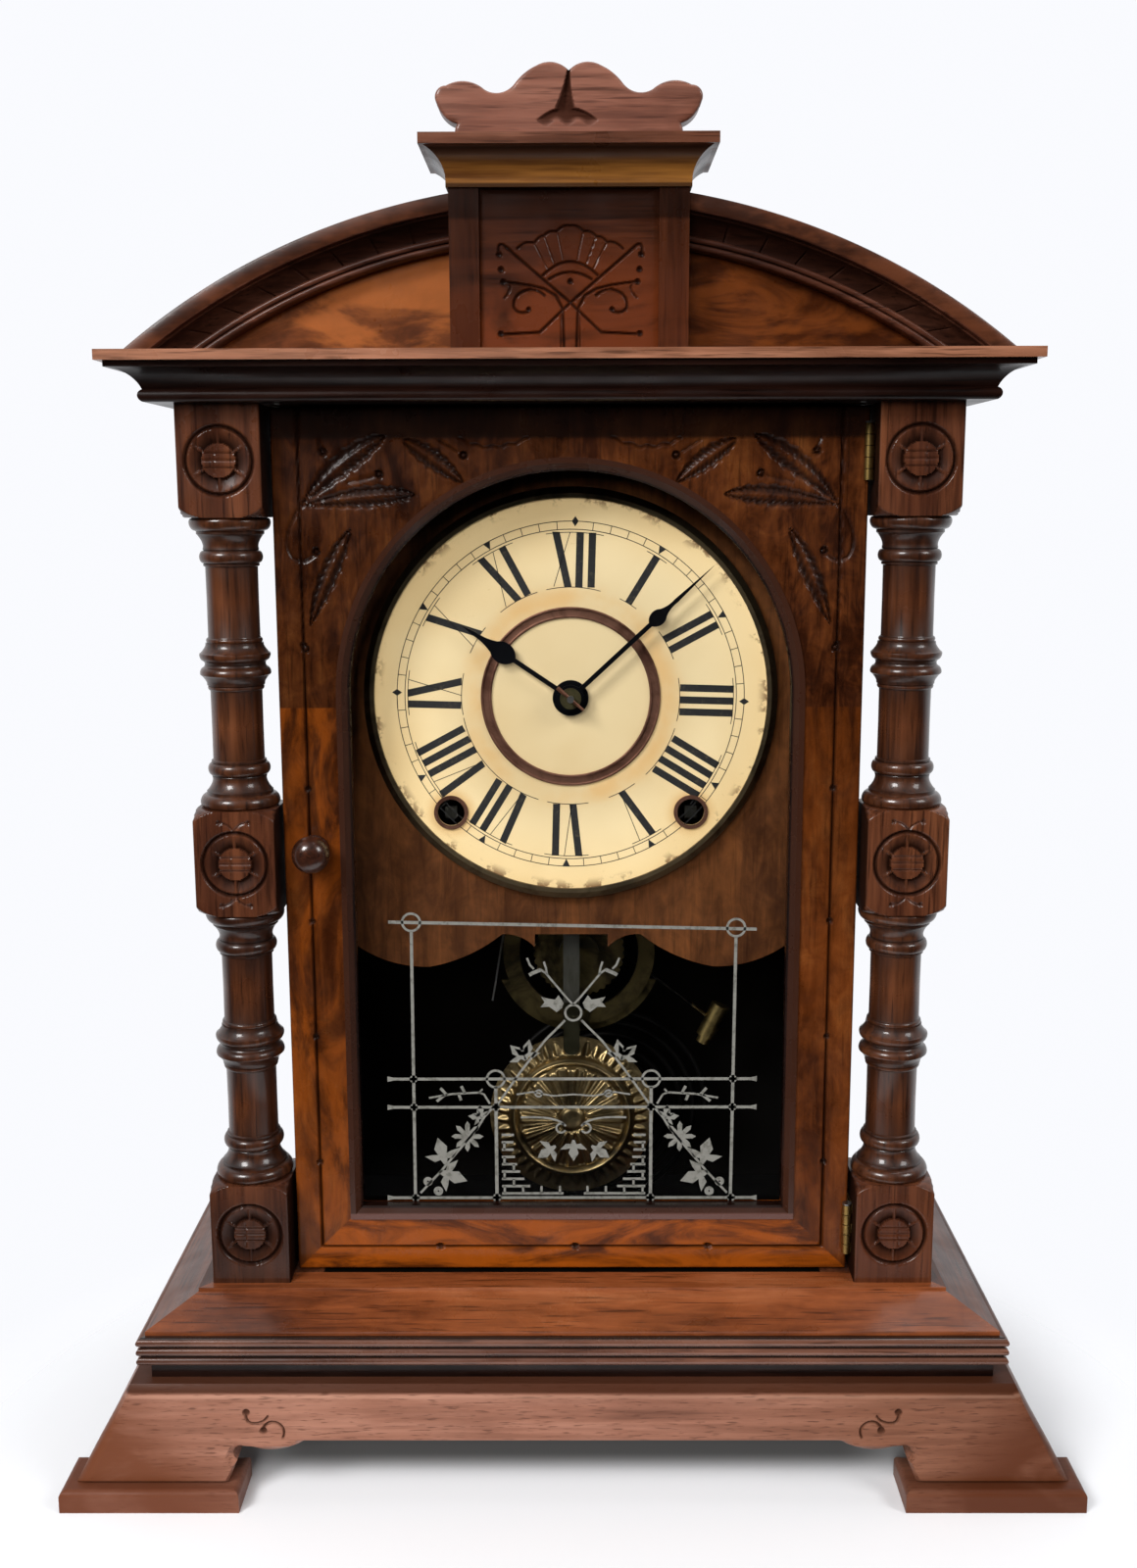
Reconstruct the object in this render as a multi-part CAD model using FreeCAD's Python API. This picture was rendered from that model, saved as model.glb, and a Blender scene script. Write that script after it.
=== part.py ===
import FreeCAD
import Part
import math
import os

# Parlour shelf clock with turned columns. Millimetres, +Z up, front towards -Y.
# Origin: bottom centre of the whole clock, on the surface that it stands on.

os.makedirs("parts", exist_ok=True)

# Overall sizes
FOOT_HALF_WIDTH = 192.0
FRONT_Y = -75.0
BACK_Y = 75.0
OVERRUN = 1.0
SAME_POINT = 1e-7

# Base: pads, skirt boards and the board above them
PAD_WIDTH = 67.4
PAD_DEPTH = 24.0
PAD_HEIGHT = 8.5
PAD_ROUND = 2.4
PAD_MARGIN = 5.0
SKIRT_THICKNESS = 11.0
SKIRT_HEIGHT = 40.0
SKIRT_FLARE = 22.0
SKIRT_TOP_ROUND = 3.0
APRON_HEIGHT = 17.0
NOTCH_RADIUS = 3.0
SIDE_FOOT_LENGTH = 32.0
GLUE_BLOCK_LEG = 20.0
GLUE_BLOCK_HEIGHT = 20.0
GLUE_BLOCK_GAP = 1.0
LEDGE_WIDTH = 7.0
FRAME_BOARD_THICKNESS = 5.8

# Plinth: reeded strips below a bevelled strip
PLINTH_HALF_WIDTH = 162.7
PLINTH_FRONT_Y = -66.4
REED_PITCH = 3.7
REED_COUNT = 3
REED_BULGE = 1.5
REED_LIP = 0.25
REED_STRIP_DEPTH = 12.0
BEVEL_SETBACK = 3.0
BEVEL_EDGE = 1.6
BEVEL_RUN = 16.6
BEVEL_RISE = 7.6
BEVEL_STEP = 1.4
BEVEL_STRIP_DEPTH = 29.0

# Columns: three square blocks with two turned lengths between them
COLUMN_HALF_SPAN = 138.4
COLUMN_BLOCK = 30.0
COLUMN_FRONT_Y = -43.0
COLUMN_HEIGHT = 330.5
BLOCK_HEIGHT = 39.5
BLOCK_CORNER_FALL = 4.0
COLUMN_SHAFT_RADIUS = 9.4
COLUMN_FILLET_RADIUS = 10.3
COLUMN_BEAD_RADIUS = 11.4
COLUMN_RING_RADIUS = 12.9
COLUMN_DISC_RADIUS = 14.5

# Case
CASE_HALF_WIDTH = 106.5
CASE_BOARD = 10.0
CASE_FRONT_Y = -14.5
BACK_BOARD_THICKNESS = 7.0

# Cornice
CORNICE_BOARD_THICKNESS = 13.0
CORNICE_BEAD_OUT = 9.8
CORNICE_BEAD_HEIGHT = 4.2
CORNICE_COVE_OUT = 18.6
CORNICE_FILLET = 2.0
CORNICE_STRIP_BACK = 10.0
SLAB_OUT = 21.1
SLAB_THICKNESS = 3.5

# Pediment
ARCH_HALF_SPAN = 156.0
ARCH_RADIUS = 246.0
ARCH_FRONT_Y = -47.0
ARCH_DEPTH = 21.0
ARCH_BAND = 6.0
ARCH_COVE = 7.0
ARCH_BEAD = 4.6
ARCH_COVE_DEPTH = 7.0
ARCH_BEAD_DEPTH = 4.0
TYMPANUM_SETBACK = 11.0
TYMPANUM_THICKNESS = 10.0

# Tower, its cap and the crest
TOWER_HALF_WIDTH = 40.7
TOWER_FRONT_Y = -50.0
TOWER_DEPTH = 40.0
TOWER_HEIGHT = 53.5
PILASTER_WIDTH = 10.2
PILASTER_DEPTH = 5.0
PANEL_SETBACK = 2.0
CAP_OUT = 9.2
CAP_COVE_HEIGHT = 12.2
CAP_FILLET = 1.6
CAP_SLAB = 3.6
CREST_FRONT_Y = -36.0
CREST_THICKNESS = 9.0
CREST_HALF_WIDTH = 45.5
CREST_HEIGHT = 27.7

# Door
DOOR_HALF_WIDTH = 107.0
DOOR_FRONT_Y = -33.0
DOOR_THICKNESS = 18.0
DOOR_GAP = 0.8
OPENING_HALF_WIDTH = 85.9
OPENING_BOTTOM_Z = 97.7
OPENING_ARCH_Z = 302.0
MOULDING_WIDTH = 4.6
MOULDING_PROUD = 0.8
MOULDING_BACK = 6.0
MOULDING_BEVEL = 2.6
GLASS_THICKNESS = 2.0
GLASS_CLEARANCE = 1.0
KNOB_X = -95.5
KNOB_Z = 244.8
KNOB_RADIUS = 7.0
KNOB_LENGTH = 15.0
KNOB_STEM_RADIUS = 3.6
KNOB_STEM_LENGTH = 3.5
KNOB_TIP_RADIUS = 1.5

# Hinges
HINGE_X = 106.4
HINGE_Y = -35.0
HINGE_LENGTH = 20.0
HINGE_CENTRES = (94.5, 389.5)
KNUCKLE_RADIUS = 1.8
KNUCKLE_BORE = 0.8
PIN_RADIUS = 0.75
KNUCKLE_COUNT = 5
KNUCKLE_GAP = 0.3
LEAF_THICKNESS = 0.4
LEAF_DEPTH = 15.0
PIN_HEAD = 0.6

# Dial
DIAL_Z = 299.0
DIAL_FACE_Y = -8.0
DIAL_PLATE_RADIUS = 75.6
DIAL_RIM_WIDTH = 3.3
DIAL_RIM_RADIUS = DIAL_PLATE_RADIUS + DIAL_RIM_WIDTH
DIAL_PLATE_THICKNESS = 0.8
DIAL_RIM_FRONT = 1.6
DIAL_CENTRE_HOLE = 6.5
CENTRE_RING_WIDTH = 4.1
CENTRE_RING_OUTER = DIAL_PLATE_RADIUS * 19 / 42
CENTRE_RING_INNER = CENTRE_RING_OUTER - CENTRE_RING_WIDTH
CENTRE_RING_THICKNESS = 1.0
WINDING_LIFT = 1.5
WINDING_X = DIAL_PLATE_RADIUS * 11 / 18
WINDING_DROP = WINDING_X - WINDING_LIFT
WINDING_HOLE = 5.2
EYELET_OUTER = 6.6
EYELET_THICKNESS = 0.9
DIAL_BOARD_FRONT_Y = -3.0
DIAL_BOARD_THICKNESS = 5.0
DIAL_BOARD_TOP_GAP = 6.0
DIAL_OPENING_LIP = 3.6
DIAL_OPENING_RADIUS = DIAL_PLATE_RADIUS - DIAL_OPENING_LIP
BOARD_LOBE_Z = 191.2
BOARD_PEAK_Z = 204.4
BOARD_CUSP_Z = 199.2
BOARD_LOBE_X = 56.0
BOARD_PEAK_X = 27.3
BOARD_CUSP_X = 14.4
CLEAT_WIDTH = 10.0
CLEAT_DEPTH = 10.0

# Hands
HOUR_HAND_LENGTH = 50.0
MINUTE_HAND_LENGTH = 73.5
HAND_THICKNESS = 0.7
HAND_HUB_RADIUS = 6.8
HOUR_BULB_RADIUS = 4.0
MINUTE_BULB_RADIUS = 2.9
HAND_GAP = 1.2
HOUR_HAND_Y = -12.0
WASHER_RADIUS = 4.0
WASHER_THICKNESS = 1.0
TAPER_PIN_RADIUS = 0.8
TAPER_PIN_LENGTH = 13.0
TAPER_PIN_DEGREES = 41.0

# Movement
PLATE_THICKNESS = 1.6
FRONT_PLATE_Y = 13.0
BACK_PLATE_Y = 44.0
PLATE_MARGIN = 27.8
PLATE_FOOT = 32.3
PLATE_HALF_WIDTH = WINDING_X + PLATE_MARGIN
PLATE_BOTTOM_Z = DIAL_Z - WINDING_DROP - PLATE_FOOT
PLATE_TOP_Z = 346.0
PLATE_CORNER = 14.0
LOBE_X = 3.0
LOBE_Z = 193.0
LOBE_OUTER = 30.6
LOBE_INNER = 24.0
STRAP_DROP = 3.0
STRAP_BAND = 4.5
PILLAR_RADIUS = 3.5
PILLAR_INSET = 8.0
BLOCK_WIDTH = 16.0
ARBOR_RADIUS = 1.2
ARBOR_FIT = 0.05
CENTRE_ARBOR_RADIUS = 1.3
PIPE_RADIUS = 3.2
PIPE_FIT = 0.06
MOTION_WHEEL_THICKNESS = 1.2
MOTION_CENTRES = 13.0
HOUR_WHEEL_RADIUS = 9.6
HOUR_WHEEL_TEETH = 40
MINUTE_WHEEL_RADIUS = 9.0
MINUTE_WHEEL_TEETH = 36
MINUTE_PINION_RADIUS = 3.0
MINUTE_PINION_TEETH = 10
CANNON_PINION_RADIUS = 3.6
CANNON_PINION_TEETH = 12
TOOTH_DEPTH = 0.7
RATCHET_RADIUS = 9.0
RATCHET_TEETH = 24
RATCHET_GAP = 0.3
RATCHET_THICKNESS = 1.6
WINDING_SQUARE = 4.6
WINDING_ARBOR_RADIUS = 3.0
MAINSPRING_GAP = 0.3
MAINSPRING_INNER = 5.0
MAINSPRING_WIDTH = 18.0
COUNT_WHEEL_RADIUS = 18.4
COUNT_WHEEL_HUB = 8.0
COUNT_WHEEL_TEETH = 36
ESCAPE_RADIUS = 12.0
ESCAPE_TEETH = 30
ESCAPE_DROP = 19.0
ESCAPE_Y = 22.0

# Pendulum
PIVOT_Z = 276.0
ROD_Y = 6.0
ROD_WIDTH = 6.5
ROD_THICKNESS = 1.0
BOB_Z = 126.6
BOB_RADIUS = 33.2
BOB_DISC_RADIUS = 24.3
BOB_FRONT_Y = -2.0
BOB_BOSS_RADIUS = 4.0
HOOK_DROP = 5.6
HOOK_RISE = 11.0
HOOK_THICKNESS = 1.0
SPRING_LENGTH = 9.0
SPRING_WIDTH = 3.0
SPRING_THICKNESS = 0.3
POST_WIDTH = 7.0
POST_GAP = 0.3
POST_HEIGHT = 8.0
CRUTCH_LENGTH = 44.0
CRUTCH_RADIUS = 0.7
CRUTCH_LOOP_GAP = 0.5
CRUTCH_GAP = 1.2
PALLET_SPAN = 9.0
PALLET_THICKNESS = 1.2
PALLET_CLEARANCE = 1.3

# Strike
HAMMER_X = 18.0
HAMMER_Z = 190.0
HAMMER_ARBOR_LENGTH = 14.0
HAMMER_WIRE_RADIUS = 0.75
HAMMER_HEAD_RADIUS = 4.0
HAMMER_HEAD_LENGTH = 15.0
HAMMER_TIP_LENGTH = 3.0
HAMMER_REACH_X = 41.4
HAMMER_REACH_Z = -32.7
HAMMER_TILT = 25.0
GONG_X = 12.7
GONG_Z = 119.0
GONG_Y = 36.0
GONG_OUTER = 44.0
GONG_PITCH = 5.2
GONG_HALF_TURNS = 11
GONG_WIRE_RADIUS = 1.2
GONG_STUD_WIDTH = 4.4
GONG_BASE_RADIUS = 15.0
GONG_BASE_THICKNESS = 7.0

# Heights that follow from the sizes above
SKIRT_TOP_Z = PAD_HEIGHT + SKIRT_HEIGHT
FRAME_TOP_Z = SKIRT_TOP_Z + FRAME_BOARD_THICKNESS
REED_TOP_Z = FRAME_TOP_Z + REED_COUNT * REED_PITCH
PLINTH_TOP_Z = REED_TOP_Z + BEVEL_EDGE + BEVEL_RISE + BEVEL_STEP
CASE_TOP_Z = PLINTH_TOP_Z + COLUMN_HEIGHT
CORNICE_TOP_Z = CASE_TOP_Z + CORNICE_BOARD_THICKNESS
SLAB_TOP_Z = CORNICE_TOP_Z + SLAB_THICKNESS
TOWER_TOP_Z = SLAB_TOP_Z + TOWER_HEIGHT
CAP_TOP_Z = TOWER_TOP_Z + CAP_COVE_HEIGHT + CAP_SLAB
OVERALL_HEIGHT = CAP_TOP_Z + CREST_HEIGHT
ARCH_CENTRE_Z = SLAB_TOP_Z - math.sqrt(ARCH_RADIUS ** 2 - ARCH_HALF_SPAN ** 2)
COLUMN_X = COLUMN_HALF_SPAN - COLUMN_BLOCK / 2
COLUMN_Y = COLUMN_FRONT_Y + COLUMN_BLOCK / 2
CASE_BACK_Y = BACK_Y - BACK_BOARD_THICKNESS
SKIRT_FRONT_Y = FRONT_Y + PAD_MARGIN
SKIRT_BACK_Y = SKIRT_FRONT_Y + SKIRT_THICKNESS
SKIRT_FOOT_HALF = FOOT_HALF_WIDTH - PAD_MARGIN
DOOR_BACK_Y = DOOR_FRONT_Y + DOOR_THICKNESS
DOOR_BOTTOM_Z = PLINTH_TOP_Z + DOOR_GAP
DOOR_TOP_Z = CASE_TOP_Z - DOOR_GAP
WINDING_Z = DIAL_Z - WINDING_DROP


def vec(x, y, z):
    return FreeCAD.Vector(x, y, z)


X_AXIS = vec(1, 0, 0)
Y_AXIS = vec(0, 1, 0)
Z_AXIS = vec(0, 0, 1)


def to_xz(a, b):
    return vec(a, 0, b)


def to_yz(a, b):
    return vec(0, a, b)


def to_xy(a, b):
    return vec(a, b, 0)


def outline(place, start, steps):
    """Closed face: each step is an end point, or a middle point and an end point of an arc."""
    edges = []
    here = place(*start)
    for step in steps + [(start,)]:
        end = place(*step[-1])
        if (end - here).Length < SAME_POINT:
            continue
        if len(step) == 2:
            edges.append(Part.Arc(here, place(*step[0]), end).toShape())
        else:
            edges.append(Part.LineSegment(here, end).toShape())
        here = end
    return Part.Face(Part.Wire(edges))


def polygon(place, points):
    return outline(place, points[0], [(point,) for point in points[1:]])


def extrude_y(face, y0, y1):
    face.translate(vec(0, y0, 0))
    return face.extrude(vec(0, y1 - y0, 0))


def extrude_x(face, x0, x1):
    face.translate(vec(x0, 0, 0))
    return face.extrude(vec(x1 - x0, 0, 0))


def extrude_z(face, z0, z1):
    face.translate(vec(0, 0, z0))
    return face.extrude(vec(0, 0, z1 - z0))


def box(x0, x1, y0, y1, z0, z1):
    return Part.makeBox(x1 - x0, y1 - y0, z1 - z0, vec(x0, y0, z0))


def rod_y(radius, y0, y1, x, z):
    return Part.makeCylinder(radius, y1 - y0, vec(x, y0, z), Y_AXIS)


def rod_z(radius, z0, z1, x, y):
    return Part.makeCylinder(radius, z1 - z0, vec(x, y, z0), Z_AXIS)


def ring_y(outer, inner, y0, y1, x, z):
    return rod_y(outer, y0, y1, x, z).cut(rod_y(inner, y0 - OVERRUN, y1 + OVERRUN, x, z))


def mirror_x(shape):
    return shape.mirror(vec(0, 0, 0), X_AXIS)


def pair_x(shape):
    return Part.makeCompound([shape, mirror_x(shape)])


def save(shape, node):
    for solid in shape.Solids:
        if not solid.isValid():
            print("not valid:", node)
    if len(shape.Solids) == 1:
        shape = shape.Solids[0]
    shape.exportStep("parts/" + node + ".step")
    print(node, len(shape.Solids), round(shape.Volume / 1000, 2), "cm3")


def mitred_front(profile, x_ref, y_ref, out_max, out_min):
    """Strip along the front: profile is (outward, z), outward zero at x_ref and y_ref."""
    face = outline(lambda o, z: vec(0, y_ref - o, z), profile[0], profile[1])
    length = x_ref + out_max + OVERRUN
    strip = extrude_x(face, -length, length)
    low, high = z_range(strip)
    plan = polygon(to_xy, [
        (-x_ref - out_max, y_ref - out_max),
        (x_ref + out_max, y_ref - out_max),
        (x_ref + out_min, y_ref - out_min),
        (-x_ref - out_min, y_ref - out_min)])
    return strip.common(extrude_z(plan, low - OVERRUN, high + OVERRUN))


def mitred_side(profile, x_ref, y_ref, out_max, out_min, y_back):
    """Strip along the right side, mitred to the front strip."""
    face = outline(lambda o, z: vec(x_ref + o, 0, z), profile[0], profile[1])
    strip = extrude_y(face, y_ref - out_max - OVERRUN, y_back)
    low, high = z_range(strip)
    plan = polygon(to_xy, [
        (x_ref + out_max, y_ref - out_max),
        (x_ref + out_max, y_back),
        (x_ref + out_min, y_back),
        (x_ref + out_min, y_ref - out_min)])
    return strip.common(extrude_z(plan, low - OVERRUN, high + OVERRUN))


def z_range(shape):
    bounds = shape.BoundBox
    return bounds.ZMin, bounds.ZMax


def toothed_disc(radius, depth, teeth, y0, y1, x, z):
    """Wheel with straight-sided teeth, as one outline."""
    points = []
    steps_per_tooth = 4
    radii_shares = (0, 1, 1, 0)
    for index in range(teeth * steps_per_tooth):
        angle = 2 * math.pi * index / (teeth * steps_per_tooth)
        reach = radius - depth + depth * radii_shares[index % steps_per_tooth]
        points.append((x + reach * math.cos(angle), z + reach * math.sin(angle)))
    return extrude_y(polygon(to_xz, points), y0, y1)


# Base

def foot_pads():
    pads = []
    inner = FOOT_HALF_WIDTH - PAD_WIDTH
    for front in (FRONT_Y, BACK_Y - PAD_DEPTH):
        pad = box(inner, FOOT_HALF_WIDTH, front, front + PAD_DEPTH, 0, PAD_HEIGHT)
        top_edges = []
        for edge in pad.Edges:
            low = min(vertex.Z for vertex in edge.Vertexes)
            behind = min(vertex.Y for vertex in edge.Vertexes) > front
            if low == PAD_HEIGHT and not (front > FRONT_Y and behind):
                top_edges.append(edge)
        pads.append(pad.makeFillet(PAD_ROUND, top_edges))
    return Part.makeCompound([pair_x(pad) for pad in pads])


def skirt_half(z):
    """Half width over the skirt boards at a height."""
    return SKIRT_FOOT_HALF - SKIRT_FLARE * (z - PAD_HEIGHT) / SKIRT_HEIGHT


def base_skirt_front():
    apron_z = PAD_HEIGHT + APRON_HEIGHT
    foot_inner = FOOT_HALF_WIDTH - PAD_WIDTH + PAD_MARGIN
    notch_x = foot_inner - 1.7 * NOTCH_RADIUS
    notch_z = PAD_HEIGHT + 4 * NOTCH_RADIUS
    lobe_x = notch_x - 1.4 * NOTCH_RADIUS
    flat_x = notch_x - 8 * NOTCH_RADIUS
    lobe_z = apron_z - 0.9 * NOTCH_RADIUS
    steps = [
        ((SKIRT_FOOT_HALF, PAD_HEIGHT),),
        ((skirt_half(SKIRT_TOP_Z), SKIRT_TOP_Z),),
        ((-skirt_half(SKIRT_TOP_Z), SKIRT_TOP_Z),),
        ((-SKIRT_FOOT_HALF, PAD_HEIGHT),),
        ((-foot_inner, PAD_HEIGHT),),
        ((-notch_x - NOTCH_RADIUS / 2, notch_z - NOTCH_RADIUS),),
        ((-notch_x - NOTCH_RADIUS, notch_z), (-notch_x, notch_z + NOTCH_RADIUS)),
        ((-lobe_x, lobe_z),),
        ((-lobe_x + NOTCH_RADIUS, lobe_z - NOTCH_RADIUS / 4), (-flat_x, apron_z)),
        ((flat_x, apron_z),),
        ((lobe_x - NOTCH_RADIUS, lobe_z - NOTCH_RADIUS / 4), (lobe_x, lobe_z)),
        ((notch_x, notch_z + NOTCH_RADIUS),),
        ((notch_x + NOTCH_RADIUS, notch_z), (notch_x + NOTCH_RADIUS / 2, notch_z - NOTCH_RADIUS)),
    ]
    board = extrude_y(outline(to_xz, (foot_inner, PAD_HEIGHT), steps), SKIRT_FRONT_Y, SKIRT_BACK_Y)
    rounded = []
    for edge in board.Edges:
        ends = edge.Vertexes
        on_top = min(vertex.Z for vertex in ends) > SKIRT_TOP_Z - PAD_ROUND
        on_front = max(vertex.Y for vertex in ends) < SKIRT_BACK_Y
        if on_top and on_front:
            rounded.append(edge)
    return board.makeFillet(SKIRT_TOP_ROUND, rounded)


def base_skirt_side():
    apron_z = PAD_HEIGHT + APRON_HEIGHT
    section = polygon(to_xz, [
        (SKIRT_FOOT_HALF, PAD_HEIGHT),
        (skirt_half(SKIRT_TOP_Z), SKIRT_TOP_Z),
        (skirt_half(SKIRT_TOP_Z) - SKIRT_THICKNESS, SKIRT_TOP_Z),
        (SKIRT_FOOT_HALF - SKIRT_THICKNESS, PAD_HEIGHT)])
    board = extrude_y(section, SKIRT_BACK_Y, BACK_Y)
    arch = box(0, FOOT_HALF_WIDTH, FRONT_Y + SIDE_FOOT_LENGTH, BACK_Y - SIDE_FOOT_LENGTH, 0, apron_z)
    return board.cut(arch)


def base_glue_blocks():
    outer = skirt_half(SKIRT_TOP_Z) - SKIRT_THICKNESS - GLUE_BLOCK_GAP
    block = extrude_z(polygon(to_xy, [
        (outer, SKIRT_BACK_Y),
        (outer - GLUE_BLOCK_LEG, SKIRT_BACK_Y),
        (outer, SKIRT_BACK_Y + GLUE_BLOCK_LEG)]), SKIRT_TOP_Z - GLUE_BLOCK_HEIGHT, SKIRT_TOP_Z)
    return pair_x(block)


def base_frame_board():
    half = skirt_half(SKIRT_TOP_Z) - LEDGE_WIDTH
    return box(-half, half, SKIRT_FRONT_Y + LEDGE_WIDTH, BACK_Y, SKIRT_TOP_Z, FRAME_TOP_Z)


# Plinth

def reed_profile():
    """Reeds as arcs on the outside of a flat strip."""
    steps = []
    z = FRAME_TOP_Z
    for index in range(REED_COUNT):
        steps.append(((-REED_BULGE, z + REED_LIP),))
        steps.append(((0, z + REED_PITCH / 2), (-REED_BULGE, z + REED_PITCH - REED_LIP)))
        z = z + REED_PITCH
    steps.append(((-REED_BULGE, REED_TOP_Z),))
    steps.append(((-REED_STRIP_DEPTH, REED_TOP_Z),))
    steps.append(((-REED_STRIP_DEPTH, FRAME_TOP_Z),))
    return (-REED_BULGE, FRAME_TOP_Z), steps


def bevel_profile():
    edge_z = REED_TOP_Z + BEVEL_EDGE
    slope_z = edge_z + BEVEL_RISE
    return (0, REED_TOP_Z), [
        ((0, edge_z),),
        ((-BEVEL_RUN, slope_z),),
        ((-BEVEL_RUN, PLINTH_TOP_Z),),
        ((-BEVEL_STRIP_DEPTH, PLINTH_TOP_Z),),
        ((-BEVEL_STRIP_DEPTH, REED_TOP_Z),)]


BEVEL_X = PLINTH_HALF_WIDTH - BEVEL_SETBACK
BEVEL_Y = PLINTH_FRONT_Y + BEVEL_SETBACK


def case_floor():
    inner_x = BEVEL_X - BEVEL_STRIP_DEPTH
    inner_y = BEVEL_Y + BEVEL_STRIP_DEPTH
    reed_x = PLINTH_HALF_WIDTH - REED_STRIP_DEPTH
    reed_y = PLINTH_FRONT_Y + REED_STRIP_DEPTH
    upper = box(-inner_x, inner_x, inner_y, BACK_Y, REED_TOP_Z, PLINTH_TOP_Z)
    lower = box(-reed_x, reed_x, reed_y, BACK_Y, FRAME_TOP_Z, REED_TOP_Z)
    return upper.fuse(lower)


# Columns

def turned_steps(z_low, z_high):
    """Turning between two blocks, from the upper block down: radius and share of the length."""
    turning_shares = [
        (COLUMN_DISC_RADIUS, 0.0), (COLUMN_DISC_RADIUS, 0.03), (COLUMN_BEAD_RADIUS, 0.065),
        (COLUMN_FILLET_RADIUS, 0.09), (COLUMN_FILLET_RADIUS, 0.115)]
    ring_shares = [
        (COLUMN_SHAFT_RADIUS, 0.155), (COLUMN_SHAFT_RADIUS, 0.408),
        (COLUMN_FILLET_RADIUS, 0.410), (COLUMN_FILLET_RADIUS, 0.430),
        (COLUMN_RING_RADIUS, 0.460), (COLUMN_RING_RADIUS, 0.468),
        (COLUMN_FILLET_RADIUS, 0.495),
        (COLUMN_RING_RADIUS, 0.522), (COLUMN_RING_RADIUS, 0.530),
        (COLUMN_FILLET_RADIUS, 0.556), (COLUMN_FILLET_RADIUS, 0.580),
        (COLUMN_SHAFT_RADIUS, 0.588), (COLUMN_SHAFT_RADIUS, 0.845)]
    foot_shares = [
        (COLUMN_SHAFT_RADIUS, 0.902), (COLUMN_FILLET_RADIUS, 0.925),
        (COLUMN_BEAD_RADIUS, 0.945), (COLUMN_DISC_RADIUS, 0.975), (COLUMN_DISC_RADIUS, 1.0)]
    length = z_high - z_low

    def at(share):
        return z_high - length * share

    steps = [((radius, at(share)),) for radius, share in turning_shares]
    steps.append(((COLUMN_BEAD_RADIUS, at(0.133)), (COLUMN_FILLET_RADIUS, at(0.150))))
    steps.extend(((radius, at(share)),) for radius, share in ring_shares)
    steps.append(((COLUMN_BEAD_RADIUS, at(0.867)), (COLUMN_FILLET_RADIUS, at(0.885))))
    steps.extend(((radius, at(share)),) for radius, share in foot_shares)
    return steps


def square_block(z_low, z_high):
    """Block whose corners fall away where it meets a turning."""
    half = COLUMN_BLOCK / 2
    corner = half * math.sqrt(2)
    round_radius = (half + corner) / 2
    body = box(-half, half, -half, half, z_low, z_high)
    steps = []
    if z_low > PLINTH_TOP_Z:
        steps.append(((half, z_low),))
        steps.append(((round_radius, z_low + BLOCK_CORNER_FALL / 3), (corner, z_low + BLOCK_CORNER_FALL)))
    else:
        steps.append(((corner, z_low),))
    if z_high < CASE_TOP_Z:
        steps.append(((corner, z_high - BLOCK_CORNER_FALL),))
        steps.append(((round_radius, z_high - BLOCK_CORNER_FALL / 3), (half, z_high)))
    else:
        steps.append(((corner, z_high),))
    steps.append(((0, z_high),))
    turned = outline(to_xz, (0, z_low), steps).revolve(vec(0, 0, 0), Z_AXIS, 360)
    return body.common(turned)


def column():
    turning = (COLUMN_HEIGHT - 3 * BLOCK_HEIGHT) / 2
    shape = None
    for index in range(3):
        low = PLINTH_TOP_Z + index * (BLOCK_HEIGHT + turning)
        block = square_block(low, low + BLOCK_HEIGHT)
        shape = block if shape is None else shape.fuse(block)
    for index in range(2):
        low = PLINTH_TOP_Z + BLOCK_HEIGHT + index * (BLOCK_HEIGHT + turning)
        steps = turned_steps(low, low + turning)
        steps.append(((0, low),))
        turned = outline(to_xz, (0, low + turning), steps).revolve(vec(0, 0, 0), Z_AXIS, 360)
        shape = shape.fuse(turned)
    shape.translate(vec(COLUMN_X, COLUMN_Y, 0))
    return shape


# Case

def case_side():
    inner = CASE_HALF_WIDTH - CASE_BOARD
    return box(inner, CASE_HALF_WIDTH, CASE_FRONT_Y, CASE_BACK_Y, PLINTH_TOP_Z, CASE_TOP_Z)


def back_board():
    return box(-CASE_HALF_WIDTH, CASE_HALF_WIDTH, CASE_BACK_Y, BACK_Y, PLINTH_TOP_Z, CASE_TOP_Z)


def case_top_board():
    half = COLUMN_HALF_SPAN - CORNICE_STRIP_BACK
    front = COLUMN_FRONT_Y + CORNICE_STRIP_BACK
    return box(-half, half, front, BACK_Y, CASE_TOP_Z, CORNICE_TOP_Z)


# Cornice

def cornice_profile():
    bead_top = CASE_TOP_Z + CORNICE_BEAD_HEIGHT
    cove_foot = CORNICE_BEAD_OUT - CORNICE_BEAD_HEIGHT / 3
    cove_top = CORNICE_TOP_Z - CORNICE_FILLET
    cove_middle = (cove_foot + (CORNICE_COVE_OUT - cove_foot) / 3, bead_top + (cove_top - bead_top) * 2 / 3)
    return (-CORNICE_STRIP_BACK, CASE_TOP_Z), [
        ((cove_foot, CASE_TOP_Z),),
        ((CORNICE_BEAD_OUT, CASE_TOP_Z + CORNICE_BEAD_HEIGHT / 2), (cove_foot, bead_top)),
        (cove_middle, (CORNICE_COVE_OUT, cove_top)),
        ((CORNICE_COVE_OUT, CORNICE_TOP_Z),),
        ((-CORNICE_STRIP_BACK, CORNICE_TOP_Z),)]


def cornice_slab():
    half = COLUMN_HALF_SPAN + SLAB_OUT
    front = COLUMN_FRONT_Y - SLAB_OUT
    return box(-half, half, front, BACK_Y, CORNICE_TOP_Z, SLAB_TOP_Z)


# Pediment

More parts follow.
